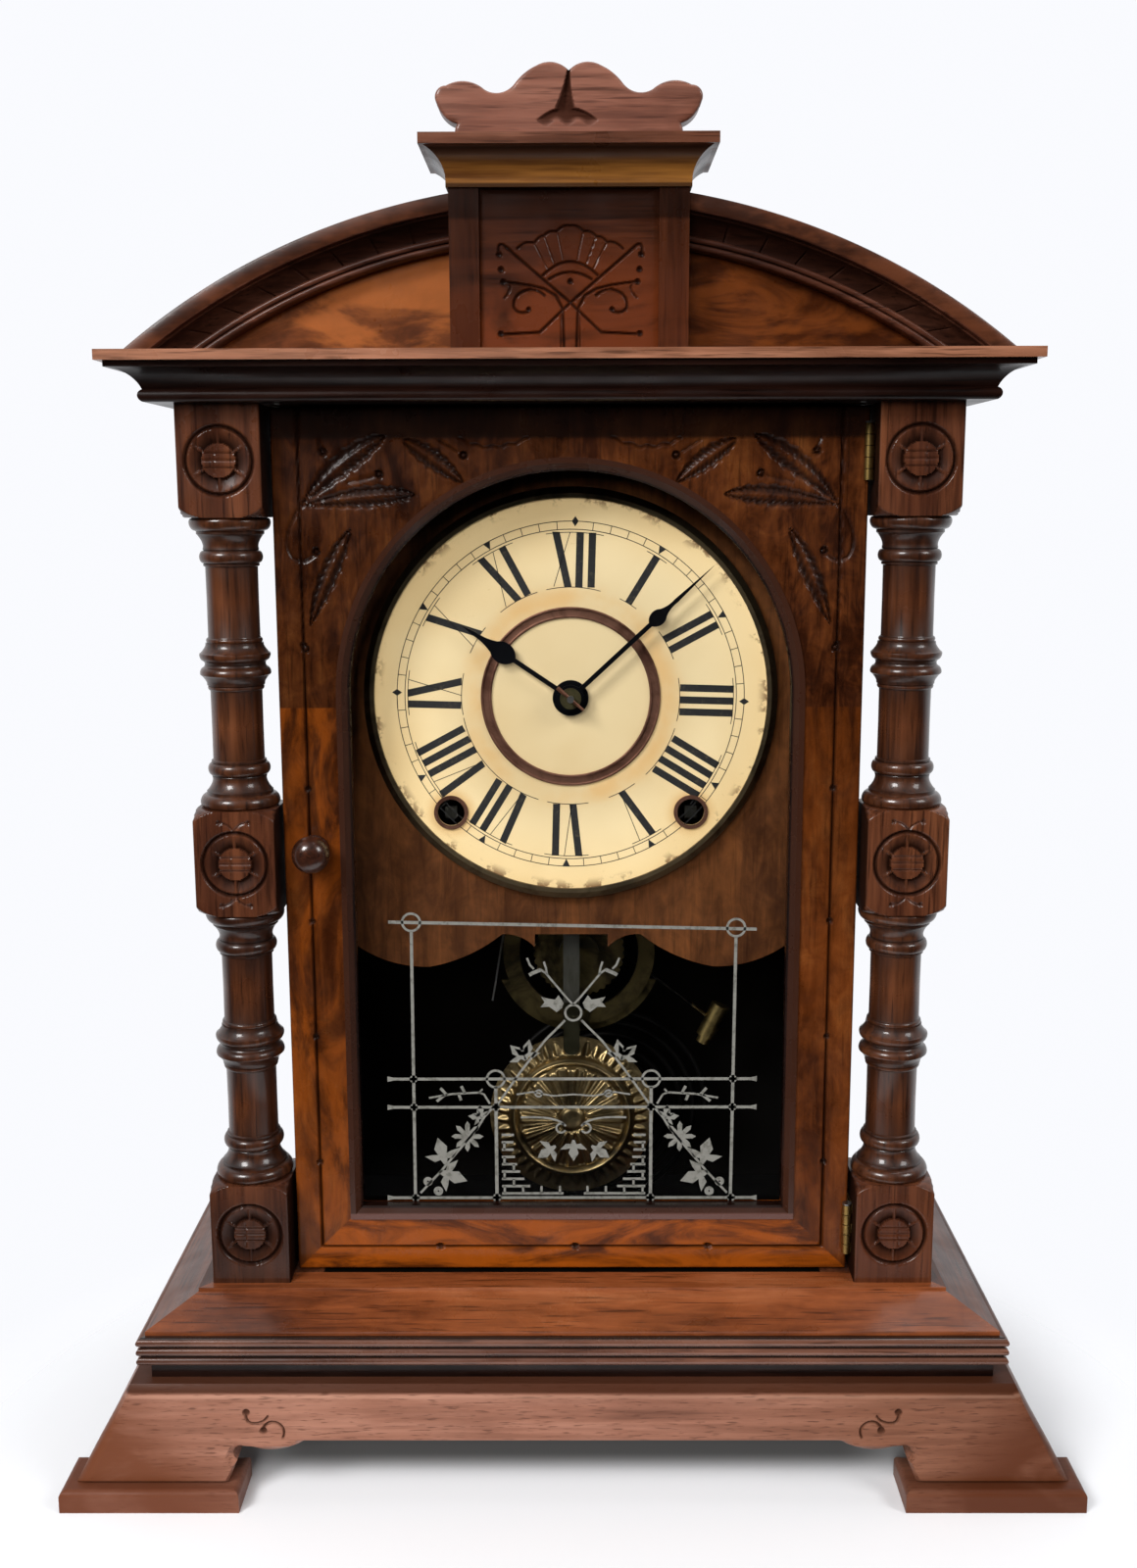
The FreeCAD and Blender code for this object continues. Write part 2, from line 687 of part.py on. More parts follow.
def arch_face(radius, z_floor):
    """Segment of a disc above a floor."""
    half = math.sqrt(radius ** 2 - (z_floor - ARCH_CENTRE_Z) ** 2)
    return outline(to_xz, (-half, z_floor), [((0, ARCH_CENTRE_Z + radius), (half, z_floor))])


def outside_tower(shape):
    keep = box(TOWER_HALF_WIDTH, ARCH_RADIUS, FRONT_Y, BACK_Y, 0, OVERALL_HEIGHT)
    return shape.common(keep)


def pediment_arch():
    """Right arch moulding: outer band, cove and inner bead, each set back from the one before."""
    back = ARCH_FRONT_Y + ARCH_DEPTH
    band_in = ARCH_RADIUS - ARCH_BAND
    cove_in = band_in - ARCH_COVE
    bead_in = cove_in - ARCH_BEAD
    whole = extrude_y(arch_face(ARCH_RADIUS, SLAB_TOP_Z), ARCH_FRONT_Y, back)
    inside = extrude_y(arch_face(bead_in, SLAB_TOP_Z - OVERRUN), ARCH_FRONT_Y - OVERRUN, back + OVERRUN)
    cove = Part.makeCone(
        band_in, cove_in, ARCH_COVE_DEPTH, vec(0, ARCH_FRONT_Y, ARCH_CENTRE_Z), Y_AXIS)
    bead_front = rod_y(cove_in, ARCH_FRONT_Y - OVERRUN, ARCH_FRONT_Y + ARCH_BEAD_DEPTH, 0, ARCH_CENTRE_Z)
    return outside_tower(whole.cut(inside).cut(cove).cut(bead_front))


def tympanum_board():
    front = ARCH_FRONT_Y + TYMPANUM_SETBACK
    radius = ARCH_RADIUS - ARCH_BAND - ARCH_COVE - ARCH_BEAD
    panel = extrude_y(arch_face(radius, SLAB_TOP_Z), front, front + TYMPANUM_THICKNESS)
    tower_hole = box(-TOWER_HALF_WIDTH, TOWER_HALF_WIDTH, FRONT_Y, BACK_Y, SLAB_TOP_Z, OVERALL_HEIGHT)
    return panel.cut(tower_hole)


def tower_block():
    front = TOWER_FRONT_Y + PILASTER_DEPTH
    back = TOWER_FRONT_Y + TOWER_DEPTH
    return box(-TOWER_HALF_WIDTH, TOWER_HALF_WIDTH, front, back, SLAB_TOP_Z, TOWER_TOP_Z)


def tower_pilaster():
    inner = TOWER_HALF_WIDTH - PILASTER_WIDTH
    back = TOWER_FRONT_Y + PILASTER_DEPTH
    return box(inner, TOWER_HALF_WIDTH, TOWER_FRONT_Y, back, SLAB_TOP_Z, TOWER_TOP_Z)


def tower_panel():
    half = TOWER_HALF_WIDTH - PILASTER_WIDTH
    front = TOWER_FRONT_Y + PANEL_SETBACK
    return box(-half, half, front, TOWER_FRONT_Y + PILASTER_DEPTH, SLAB_TOP_Z, TOWER_TOP_Z)


def tower_cap():
    """Coved cap, wider at the top, with a thin slab."""
    back = TOWER_FRONT_Y + TOWER_DEPTH
    cove_top = TOWER_TOP_Z + CAP_COVE_HEIGHT
    cove_out = CAP_OUT - CAP_FILLET
    middle = (cove_out * 0.3, TOWER_TOP_Z + CAP_COVE_HEIGHT * 0.62)
    profile = ((-TOWER_HALF_WIDTH, TOWER_TOP_Z), [
        ((CAP_FILLET / 2, TOWER_TOP_Z),),
        ((CAP_FILLET / 2, TOWER_TOP_Z + CAP_FILLET),),
        (middle, (cove_out, cove_top)),
        ((CAP_OUT, cove_top),),
        ((CAP_OUT, CAP_TOP_Z),),
        ((-TOWER_HALF_WIDTH, CAP_TOP_Z),)])
    front_face = outline(lambda o, z: vec(0, TOWER_FRONT_Y - o, z), profile[0], profile[1])
    length = TOWER_HALF_WIDTH + CAP_OUT
    front = extrude_x(front_face, -length, length)
    side_face = outline(lambda o, z: vec(TOWER_HALF_WIDTH + o, 0, z), profile[0], profile[1])
    right = extrude_y(side_face, TOWER_FRONT_Y - CAP_OUT, back)
    both_sides = right.fuse(mirror_x(right))
    cap = front.common(box(-length, length, FRONT_Y, back, TOWER_TOP_Z, CAP_TOP_Z))
    return cap.common(both_sides)


def crest():
    """Scalloped crest board; its outline is in shares of its half width and height."""
    base = CAP_TOP_Z

    def at(x_share, z_share):
        return CREST_HALF_WIDTH * x_share, base + CREST_HEIGHT * z_share

    right_shares = [
        ((0.80, 0.0),),
        ((0.85, 0.10), (0.84, 0.28)),
        ((0.93, 0.36), (0.99, 0.52)),
        ((1.00, 0.64), (0.92, 0.73)),
        ((0.82, 0.78), (0.63, 0.68)),
        ((0.48, 0.66), (0.40, 0.76)),
        ((0.34, 0.86), (0.24, 0.96)),
        ((0.13, 1.0), (0.0, 0.90)),
    ]
    left_shares = [
        ((-0.13, 1.0), (-0.24, 0.96)),
        ((-0.34, 0.86), (-0.40, 0.76)),
        ((-0.48, 0.66), (-0.63, 0.68)),
        ((-0.82, 0.78), (-0.92, 0.73)),
        ((-1.00, 0.64), (-0.99, 0.52)),
        ((-0.93, 0.36), (-0.84, 0.28)),
        ((-0.85, 0.10), (-0.80, 0.0)),
    ]
    steps = []
    for step_shares in right_shares + left_shares:
        steps.append(tuple(at(*point) for point in step_shares))
    face = outline(to_xz, at(0.0, 0.0), steps)
    return extrude_y(face, CREST_FRONT_Y, CREST_FRONT_Y + CREST_THICKNESS)


# Door

def arched_face(half, bottom, arch_z):
    """Doorway outline: square foot, half-round head."""
    return outline(to_xz, (-half, bottom), [
        ((-half, arch_z),),
        ((0, arch_z + half), (half, arch_z)),
        ((half, bottom),)])


def arched_block(inset, y0, y1):
    face = arched_face(OPENING_HALF_WIDTH - inset, OPENING_BOTTOM_Z + inset, OPENING_ARCH_Z)
    return extrude_y(face, y0, y1)


def door_frame():
    slab = box(-DOOR_HALF_WIDTH, DOOR_HALF_WIDTH, DOOR_FRONT_Y, DOOR_BACK_Y, DOOR_BOTTOM_Z, DOOR_TOP_Z)
    return slab.cut(arched_block(0, DOOR_FRONT_Y - OVERRUN, DOOR_BACK_Y + OVERRUN))


MOULDING_BACK_Y = DOOR_FRONT_Y + MOULDING_BACK
GLASS_BACK_Y = MOULDING_BACK_Y + GLASS_THICKNESS


def door_moulding():
    front = DOOR_FRONT_Y - MOULDING_PROUD
    ring = arched_block(0, front, MOULDING_BACK_Y)
    ring = ring.cut(arched_block(MOULDING_WIDTH, front - OVERRUN, MOULDING_BACK_Y + OVERRUN))
    inner_edges = []
    for edge in ring.Edges:
        bounds = edge.BoundBox
        inside = bounds.XMax < OPENING_HALF_WIDTH - MOULDING_WIDTH / 2
        inside = inside and bounds.XMin > -OPENING_HALF_WIDTH + MOULDING_WIDTH / 2
        if inside and bounds.YMax < front + OVERRUN / 2:
            inner_edges.append(edge)
    return ring.makeChamfer(MOULDING_BEVEL, inner_edges)


def door_glass():
    return arched_block(GLASS_CLEARANCE, MOULDING_BACK_Y, GLASS_BACK_Y)


def door_knob():
    """Turned knob on a short stem, seated on the door's face."""
    foot = DOOR_FRONT_Y
    neck = foot - KNOB_STEM_LENGTH
    tip = foot - KNOB_LENGTH
    widest = (neck + tip) / 2
    face = outline(to_xy, (0, foot), [
        ((KNOB_RADIUS * 0.8, foot),),
        ((KNOB_RADIUS * 0.8, foot - KNOB_STEM_LENGTH / 3),),
        ((KNOB_STEM_RADIUS, foot - KNOB_STEM_LENGTH / 2),),
        ((KNOB_STEM_RADIUS, neck),),
        ((KNOB_RADIUS * 0.88, (neck + widest) / 2), (KNOB_RADIUS, widest)),
        ((KNOB_RADIUS * 0.75, tip + (widest - tip) * 0.3), (KNOB_TIP_RADIUS, tip)),
        ((0, tip),)])
    knob = face.revolve(vec(0, 0, 0), Y_AXIS, 360)
    knob.translate(vec(KNOB_X, 0, KNOB_Z))
    return knob


def knuckle_spans(centre, parity):
    """Heights of the knuckles that belong to one leaf."""
    pitch = HINGE_LENGTH / KNUCKLE_COUNT
    low = centre - HINGE_LENGTH / 2
    for index in range(KNUCKLE_COUNT):
        if index % 2 == parity:
            yield low + index * pitch + KNUCKLE_GAP / 2, low + (index + 1) * pitch - KNUCKLE_GAP / 2


def knuckles(centre, parity):
    shape = None
    for low, high in knuckle_spans(centre, parity):
        knuckle = rod_z(KNUCKLE_RADIUS, low, high, HINGE_X, HINGE_Y)
        shape = knuckle if shape is None else shape.fuse(knuckle)
    return shape


def hinge_leaf(centre, parity, x0, x1):
    low = centre - HINGE_LENGTH / 2
    high = centre + HINGE_LENGTH / 2
    leaf = box(x0, x1, DOOR_FRONT_Y, HINGE_Y + LEAF_DEPTH, low, high)
    for span_low, span_high in knuckle_spans(centre, parity):
        leaf = leaf.fuse(box(x0, x1, HINGE_Y, DOOR_FRONT_Y, span_low, span_high))
    shape = leaf.fuse(knuckles(centre, parity))
    bore = rod_z(KNUCKLE_BORE, low - OVERRUN, high + OVERRUN, HINGE_X, HINGE_Y)
    return shape.cut(bore)


COLUMN_INNER_X = COLUMN_HALF_SPAN - COLUMN_BLOCK


def hinge_case_leaves():
    x1 = COLUMN_INNER_X
    return Part.makeCompound([hinge_leaf(z, 0, x1 - LEAF_THICKNESS, x1) for z in HINGE_CENTRES])


def hinge_door_leaves():
    x0 = DOOR_HALF_WIDTH
    return Part.makeCompound([hinge_leaf(z, 1, x0, x0 + LEAF_THICKNESS) for z in HINGE_CENTRES])


def hinge_pins():
    pins = []
    for centre in HINGE_CENTRES:
        top = centre + HINGE_LENGTH / 2
        low = centre - HINGE_LENGTH / 2
        pin = rod_z(PIN_RADIUS, low, top, HINGE_X, HINGE_Y)
        pins.append(pin.fuse(rod_z(KNUCKLE_RADIUS, top, top + PIN_HEAD, HINGE_X, HINGE_Y)))
    return Part.makeCompound(pins)


# Dial

def dial_board():
    """Board around the dial, with a scalloped lower edge."""
    half = CASE_HALF_WIDTH - CASE_BOARD
    top = CASE_TOP_Z - DIAL_BOARD_TOP_GAP
    lobe_mid_x = (BOARD_LOBE_X + BOARD_PEAK_X) / 2
    lobe_mid_z = (BOARD_LOBE_Z + BOARD_PEAK_Z) / 2 - (BOARD_PEAK_Z - BOARD_LOBE_Z) / 6
    cusp_mid_x = (BOARD_PEAK_X + BOARD_CUSP_X) / 2
    cusp_mid_z = BOARD_PEAK_Z - (BOARD_PEAK_Z - BOARD_CUSP_Z) / 6
    end_mid_x = (BOARD_LOBE_X + half) / 2
    end_mid_z = BOARD_LOBE_Z + (BOARD_PEAK_Z - BOARD_LOBE_Z) * 0.3

    def edge(side):
        return [
            ((side * BOARD_CUSP_X, BOARD_PEAK_Z),),
            ((side * BOARD_CUSP_X, BOARD_CUSP_Z),),
            ((side * cusp_mid_x, cusp_mid_z), (side * BOARD_PEAK_X, BOARD_PEAK_Z)),
            ((side * lobe_mid_x, lobe_mid_z), (side * BOARD_LOBE_X, BOARD_LOBE_Z)),
            ((side * end_mid_x, end_mid_z), (side * half, BOARD_PEAK_Z + BOARD_CUSP_Z - BOARD_LOBE_Z)),
        ]

    right = edge(1)
    left = edge(-1)
    steps = right + [((half, top),), ((-half, top),), (left[4][1],)]
    for index in range(4, 0, -1):
        target = left[index - 1][-1]
        if len(left[index]) == 2:
            steps.append((left[index][0], target))
        else:
            steps.append((target,))
    face = outline(to_xz, (0, BOARD_PEAK_Z), steps)
    back = DIAL_BOARD_FRONT_Y + DIAL_BOARD_THICKNESS
    board = extrude_y(face, DIAL_BOARD_FRONT_Y, back)
    return board.cut(rod_y(DIAL_OPENING_RADIUS, DIAL_BOARD_FRONT_Y - OVERRUN, back + OVERRUN, 0, DIAL_Z))


def dial_cleat():
    outer = CASE_HALF_WIDTH - CASE_BOARD
    back = DIAL_BOARD_FRONT_Y + DIAL_BOARD_THICKNESS
    low = BOARD_PEAK_Z + CLEAT_WIDTH
    high = CASE_TOP_Z - DIAL_BOARD_TOP_GAP
    return box(outer - CLEAT_WIDTH, outer, back, back + CLEAT_DEPTH, low, high)


def dial_rim():
    """Brass rim around the plate, sloping down to its edge."""
    plate_back = DIAL_FACE_Y + DIAL_PLATE_THICKNESS
    face = outline(to_xy, (DIAL_PLATE_RADIUS, plate_back), [
        ((DIAL_PLATE_RADIUS, DIAL_FACE_Y),),
        ((DIAL_PLATE_RADIUS - DIAL_RIM_FRONT / 2, DIAL_FACE_Y),),
        ((DIAL_PLATE_RADIUS - DIAL_RIM_FRONT / 2, DIAL_FACE_Y - DIAL_RIM_FRONT),),
        ((DIAL_PLATE_RADIUS + DIAL_RIM_FRONT / 2, DIAL_FACE_Y - DIAL_RIM_FRONT),),
        ((DIAL_RIM_RADIUS, DIAL_FACE_Y + DIAL_RIM_FRONT / 2),),
        ((DIAL_RIM_RADIUS, DIAL_BOARD_FRONT_Y),),
        ((DIAL_PLATE_RADIUS - DIAL_RIM_FRONT, DIAL_BOARD_FRONT_Y),),
        ((DIAL_PLATE_RADIUS - DIAL_RIM_FRONT, plate_back),)])
    rim = face.revolve(vec(0, 0, 0), Y_AXIS, 360)
    rim.translate(vec(0, 0, DIAL_Z))
    return rim


def dial_plate():
    back = DIAL_FACE_Y + DIAL_PLATE_THICKNESS
    plate = ring_y(DIAL_PLATE_RADIUS, DIAL_CENTRE_HOLE, DIAL_FACE_Y, back, 0, DIAL_Z)
    for side in (-1, 1):
        hole = rod_y(WINDING_HOLE, DIAL_FACE_Y - OVERRUN, back + OVERRUN, side * WINDING_X, WINDING_Z)
        plate = plate.cut(hole)
    return plate


def dial_centre_ring():
    front = DIAL_FACE_Y - CENTRE_RING_THICKNESS
    return ring_y(CENTRE_RING_OUTER, CENTRE_RING_INNER, front, DIAL_FACE_Y, 0, DIAL_Z)


def winding_eyelets():
    front = DIAL_FACE_Y - EYELET_THICKNESS
    return pair_x(ring_y(EYELET_OUTER, WINDING_HOLE, front, DIAL_FACE_Y, WINDING_X, WINDING_Z))


# Hands

def hand_face(length, hub, bulb, tip_width):
    """Hand along +Z from its centre: hub, slim stem, drop-shaped bulb and a long point."""
    stem = tip_width * 1.1
    bulb_z = length * 0.60
    point_z = bulb_z + bulb * 3.4
    hub_z = math.sqrt(hub ** 2 - stem ** 2)
    return outline(to_xz, (0, -hub), [
        ((hub, 0), (stem, hub_z)),
        ((stem, bulb_z - bulb * 1.1),),
        ((bulb, bulb_z), (bulb * 0.62, bulb_z + bulb * 1.2)),
        ((bulb * 0.35, bulb_z + bulb * 2.0), (tip_width, point_z)),
        ((0, length),),
        ((-tip_width, point_z),),
        ((-bulb * 0.35, bulb_z + bulb * 2.0), (-bulb * 0.62, bulb_z + bulb * 1.2)),
        ((-bulb, bulb_z), (-stem, bulb_z - bulb * 1.1)),
        ((-stem, hub_z),),
        ((-hub, 0), (0, -hub))])


def turn_on_dial(shape, degrees):
    """Turn a shape clockwise, seen from the front, about the dial's centre."""
    shape.rotate(vec(0, 0, DIAL_Z), Y_AXIS, degrees)
    return shape


def place_hand(face, y, degrees, bore):
    """Extrude a hand, bore its hub, turn it clockwise seen from the front and set it on the dial."""
    hand = extrude_y(face, y, y + HAND_THICKNESS)
    hand = hand.cut(rod_y(bore, y - OVERRUN, y + HAND_THICKNESS + OVERRUN, 0, 0))
    hand.translate(vec(0, 0, DIAL_Z))
    return turn_on_dial(hand, degrees)


MINUTE_HAND_Y = HOUR_HAND_Y - HAND_GAP - HAND_THICKNESS
HOUR_HAND_DEGREES = 304.0
MINUTE_HAND_DEGREES = 47.2
HAND_TIP_HALF = 0.8


def hour_hand():
    face = hand_face(HOUR_HAND_LENGTH, HAND_HUB_RADIUS, HOUR_BULB_RADIUS, HAND_TIP_HALF)
    return place_hand(face, HOUR_HAND_Y, HOUR_HAND_DEGREES, PIPE_RADIUS)


def minute_hand():
    face = hand_face(MINUTE_HAND_LENGTH, HAND_HUB_RADIUS * 0.75, MINUTE_BULB_RADIUS, HAND_TIP_HALF)
    return place_hand(face, MINUTE_HAND_Y, MINUTE_HAND_DEGREES, CENTRE_ARBOR_RADIUS)


ARBOR_FRONT_Y = MINUTE_HAND_Y - WASHER_THICKNESS - 4 * TAPER_PIN_RADIUS


def hand_washer():
    front = MINUTE_HAND_Y - WASHER_THICKNESS
    return ring_y(WASHER_RADIUS, CENTRE_ARBOR_RADIUS, front, MINUTE_HAND_Y, 0, DIAL_Z)


def hand_pin():
    """Taper pin through the arbor, in front of the washer."""
    pin_y = MINUTE_HAND_Y - WASHER_THICKNESS - TAPER_PIN_RADIUS
    start = vec(-TAPER_PIN_LENGTH / 2, pin_y, DIAL_Z)
    pin = Part.makeCone(TAPER_PIN_RADIUS, TAPER_PIN_RADIUS * 0.6, TAPER_PIN_LENGTH, start, X_AXIS)
    return turn_on_dial(pin, TAPER_PIN_DEGREES)


# Movement

FRONT_PLATE_BACK_Y = FRONT_PLATE_Y + PLATE_THICKNESS
BACK_PLATE_BACK_Y = BACK_PLATE_Y + PLATE_THICKNESS


def plate_body(y0):
    """Plate outline with cut corners."""
    face = polygon(to_xz, [
        (-PLATE_HALF_WIDTH, PLATE_BOTTOM_Z + PLATE_CORNER),
        (-PLATE_HALF_WIDTH + PLATE_CORNER, PLATE_BOTTOM_Z),
        (PLATE_HALF_WIDTH - PLATE_CORNER, PLATE_BOTTOM_Z),
        (PLATE_HALF_WIDTH, PLATE_BOTTOM_Z + PLATE_CORNER),
        (PLATE_HALF_WIDTH, PLATE_TOP_Z - PLATE_CORNER),
        (PLATE_HALF_WIDTH - PLATE_CORNER, PLATE_TOP_Z),
        (-PLATE_HALF_WIDTH + PLATE_CORNER, PLATE_TOP_Z),
        (-PLATE_HALF_WIDTH, PLATE_TOP_Z - PLATE_CORNER)])
    return extrude_y(face, y0, y0 + PLATE_THICKNESS)


def arbor_holes(y0):
    """Bores for the arbors, at one plate."""
    low = y0 - OVERRUN
    high = y0 + PLATE_THICKNESS + OVERRUN
    fit = ARBOR_RADIUS + ARBOR_FIT
    bores = [
        rod_y(CENTRE_ARBOR_RADIUS + ARBOR_FIT, low, high, 0, DIAL_Z),
        rod_y(fit, low, high, 0, PIVOT_Z),
        rod_y(fit, low, high, 0, PIVOT_Z - ESCAPE_DROP),
        rod_y(fit, low, high, LOBE_X, LOBE_Z),
        rod_y(WINDING_ARBOR_RADIUS + ARBOR_FIT, low, high, WINDING_X, WINDING_Z),
        rod_y(WINDING_ARBOR_RADIUS + ARBOR_FIT, low, high, -WINDING_X, WINDING_Z)]
    return bores


def lobe(y0):
    """Ring below the plate that carries the count wheel's arbor on a bridge, and its lower strap."""
    y1 = y0 + PLATE_THICKNESS
    ring = ring_y(LOBE_OUTER, LOBE_INNER, y0, y1, LOBE_X, LOBE_Z)
    neck_half = LOBE_OUTER * 0.7
    necks = []
    for side in (-1, 1):
        inner = LOBE_X + side * (neck_half - STRAP_BAND)
        outer = LOBE_X + side * (neck_half + STRAP_BAND)
        low = LOBE_Z + LOBE_INNER * 0.62
        necks.append(box(min(inner, outer), max(inner, outer), y0, y1, low, PLATE_BOTTOM_Z + OVERRUN))
    return ring.fuse(necks)


def movement_front_plate():
    plate = plate_body(FRONT_PLATE_Y).fuse(lobe(FRONT_PLATE_Y))
    for bore in arbor_holes(FRONT_PLATE_Y):
        plate = plate.cut(bore)
    strap = ring_y(LOBE_OUTER + STRAP_DROP, LOBE_OUTER + STRAP_DROP - STRAP_BAND,
                   FRONT_PLATE_BACK_Y, FRONT_PLATE_BACK_Y + PLATE_THICKNESS, LOBE_X, LOBE_Z)
    below = box(-LOBE_OUTER * 2, LOBE_OUTER * 2, FRONT_Y, BACK_Y, 0, LOBE_Z - LOBE_INNER / 2)
    return plate.fuse(strap.common(below))


def movement_back_plate():
    y1 = BACK_PLATE_BACK_Y
    tongue = box(LOBE_X - PILLAR_INSET, LOBE_X + PILLAR_INSET, BACK_PLATE_Y, y1,
                 LOBE_Z - PILLAR_INSET, PLATE_BOTTOM_Z + OVERRUN)
    hammer_ear = box(HAMMER_X - PILLAR_INSET / 2, HAMMER_X + PILLAR_INSET / 2, BACK_PLATE_Y, y1,
                     HAMMER_Z - PILLAR_INSET / 2, PLATE_BOTTOM_Z + OVERRUN)
    plate = plate_body(BACK_PLATE_Y).fuse(tongue).fuse(hammer_ear)
    for bore in arbor_holes(BACK_PLATE_Y):
        plate = plate.cut(bore)
    return plate.cut(hammer_bore(BACK_PLATE_Y))


def hammer_bore(y0):
    return rod_y(ARBOR_RADIUS + ARBOR_FIT, y0 - OVERRUN, y0 + PLATE_THICKNESS + OVERRUN, HAMMER_X, HAMMER_Z)


def movement_pillars():
    pillars = []
    x = PLATE_HALF_WIDTH - PILLAR_INSET
    inset_z = PLATE_CORNER + PILLAR_INSET / 2
    for z in (PLATE_BOTTOM_Z + inset_z, PLATE_TOP_Z - inset_z):
        pillars.append(pair_x(rod_y(PILLAR_RADIUS, FRONT_PLATE_BACK_Y, BACK_PLATE_Y, x, z)))
    return Part.makeCompound(pillars)


def movement_blocks():
    inner = PLATE_HALF_WIDTH - BLOCK_WIDTH
    return pair_x(box(inner, PLATE_HALF_WIDTH, BACK_PLATE_BACK_Y, CASE_BACK_Y,
                      PLATE_BOTTOM_Z + PLATE_CORNER, PLATE_TOP_Z - PLATE_CORNER))


MOTION_FRONT_Y = DIAL_BOARD_FRONT_Y + DIAL_BOARD_THICKNESS
HOUR_WHEEL_Y = MOTION_FRONT_Y + 2 * MOTION_WHEEL_THICKNESS
CANNON_Y = HOUR_WHEEL_Y + 3 * MOTION_WHEEL_THICKNESS
PIPE_BORE = CENTRE_ARBOR_RADIUS + PIPE_FIT


def centre_arbor():
    """Minute arbor from the taper pin to the back plate, with its pinion for the motion wheels."""
    arbor = rod_y(CENTRE_ARBOR_RADIUS, ARBOR_FRONT_Y, BACK_PLATE_BACK_Y, 0, DIAL_Z)
    pinion = toothed_disc(CANNON_PINION_RADIUS, TOOTH_DEPTH, CANNON_PINION_TEETH,
                          CANNON_Y, CANNON_Y + MOTION_WHEEL_THICKNESS, 0, DIAL_Z)
    pin_y = MINUTE_HAND_Y - WASHER_THICKNESS - TAPER_PIN_RADIUS
    pin_hole = Part.makeCylinder(TAPER_PIN_RADIUS, 4 * CENTRE_ARBOR_RADIUS,
                                 vec(-2 * CENTRE_ARBOR_RADIUS, pin_y, DIAL_Z), X_AXIS)
    return arbor.fuse(pinion).cut(turn_on_dial(pin_hole, TAPER_PIN_DEGREES))


def hour_wheel():
    """Pipe that carries the hour hand, with its wheel behind the dial."""
    wheel = toothed_disc(HOUR_WHEEL_RADIUS, TOOTH_DEPTH, HOUR_WHEEL_TEETH,
                         HOUR_WHEEL_Y, HOUR_WHEEL_Y + MOTION_WHEEL_THICKNESS, 0, DIAL_Z)
    pipe = rod_y(PIPE_RADIUS, HOUR_HAND_Y, HOUR_WHEEL_Y, 0, DIAL_Z)
    bore = rod_y(PIPE_BORE, HOUR_HAND_Y - OVERRUN, HOUR_WHEEL_Y + 2 * MOTION_WHEEL_THICKNESS, 0, DIAL_Z)
    return wheel.fuse(pipe).cut(bore)


def minute_wheel():
    """Intermediate motion wheel and pinion on a stud in the front plate."""
    x = MOTION_CENTRES
    wheel = toothed_disc(MINUTE_WHEEL_RADIUS, TOOTH_DEPTH, MINUTE_WHEEL_TEETH,
                         CANNON_Y, CANNON_Y + MOTION_WHEEL_THICKNESS, x, DIAL_Z)
    pinion = toothed_disc(MINUTE_PINION_RADIUS, TOOTH_DEPTH, MINUTE_PINION_TEETH,
                          HOUR_WHEEL_Y, CANNON_Y, x, DIAL_Z)
    bore = rod_y(ARBOR_RADIUS + ARBOR_FIT, HOUR_WHEEL_Y - OVERRUN, FRONT_PLATE_Y, x, DIAL_Z)
    return wheel.fuse(pinion).cut(bore)


def minute_wheel_stud():
    """Stud on the front plate, for the intermediate wheel."""
    return rod_y(ARBOR_RADIUS, HOUR_WHEEL_Y, FRONT_PLATE_Y, MOTION_CENTRES, DIAL_Z)


def winding_arbor(side):
    """Winding square at the dial, round arbor through the plates and a ratchet wheel in front."""
    x = side * WINDING_X
    half = WINDING_SQUARE / 2
    ratchet_y = FRONT_PLATE_Y - RATCHET_THICKNESS - RATCHET_GAP
    front = DIAL_FACE_Y + DIAL_PLATE_THICKNESS / 2
    square = box(x - half, x + half, front, ratchet_y, WINDING_Z - half, WINDING_Z + half)
    ratchet = toothed_disc(RATCHET_RADIUS, TOOTH_DEPTH, RATCHET_TEETH,
                           ratchet_y, ratchet_y + RATCHET_THICKNESS, x, WINDING_Z)
    arbor = rod_y(WINDING_ARBOR_RADIUS, ratchet_y, BACK_PLATE_BACK_Y, x, WINDING_Z)
    return square.fuse(ratchet).fuse(arbor)


def mainsprings():
    """Wound springs round the winding arbors, each hooked to the pillar beside it."""
    low = FRONT_PLATE_BACK_Y + PLATE_THICKNESS
    pillar_x = PLATE_HALF_WIDTH - PILLAR_INSET
    pillar_z = PLATE_BOTTOM_Z + PLATE_CORNER + PILLAR_INSET / 2
    reach = math.hypot(pillar_x - WINDING_X, pillar_z - WINDING_Z)
    outer = reach - PILLAR_RADIUS - MAINSPRING_GAP
    return pair_x(ring_y(outer, MAINSPRING_INNER, low, low + MAINSPRING_WIDTH, WINDING_X, WINDING_Z))


def count_wheel():
    """Notched strike wheel inside the lower ring, with its hub and arbor."""
    y0 = FRONT_PLATE_BACK_Y - PLATE_THICKNESS
    disc = toothed_disc(COUNT_WHEEL_RADIUS, TOOTH_DEPTH, COUNT_WHEEL_TEETH,
                        y0, y0 + PLATE_THICKNESS, LOBE_X, LOBE_Z)
    hub = rod_y(COUNT_WHEEL_HUB, y0 - PLATE_THICKNESS, y0, LOBE_X, LOBE_Z)
    arbor = rod_y(ARBOR_RADIUS, y0 - PLATE_THICKNESS, BACK_PLATE_BACK_Y, LOBE_X, LOBE_Z)
    return disc.fuse(hub).fuse(arbor)


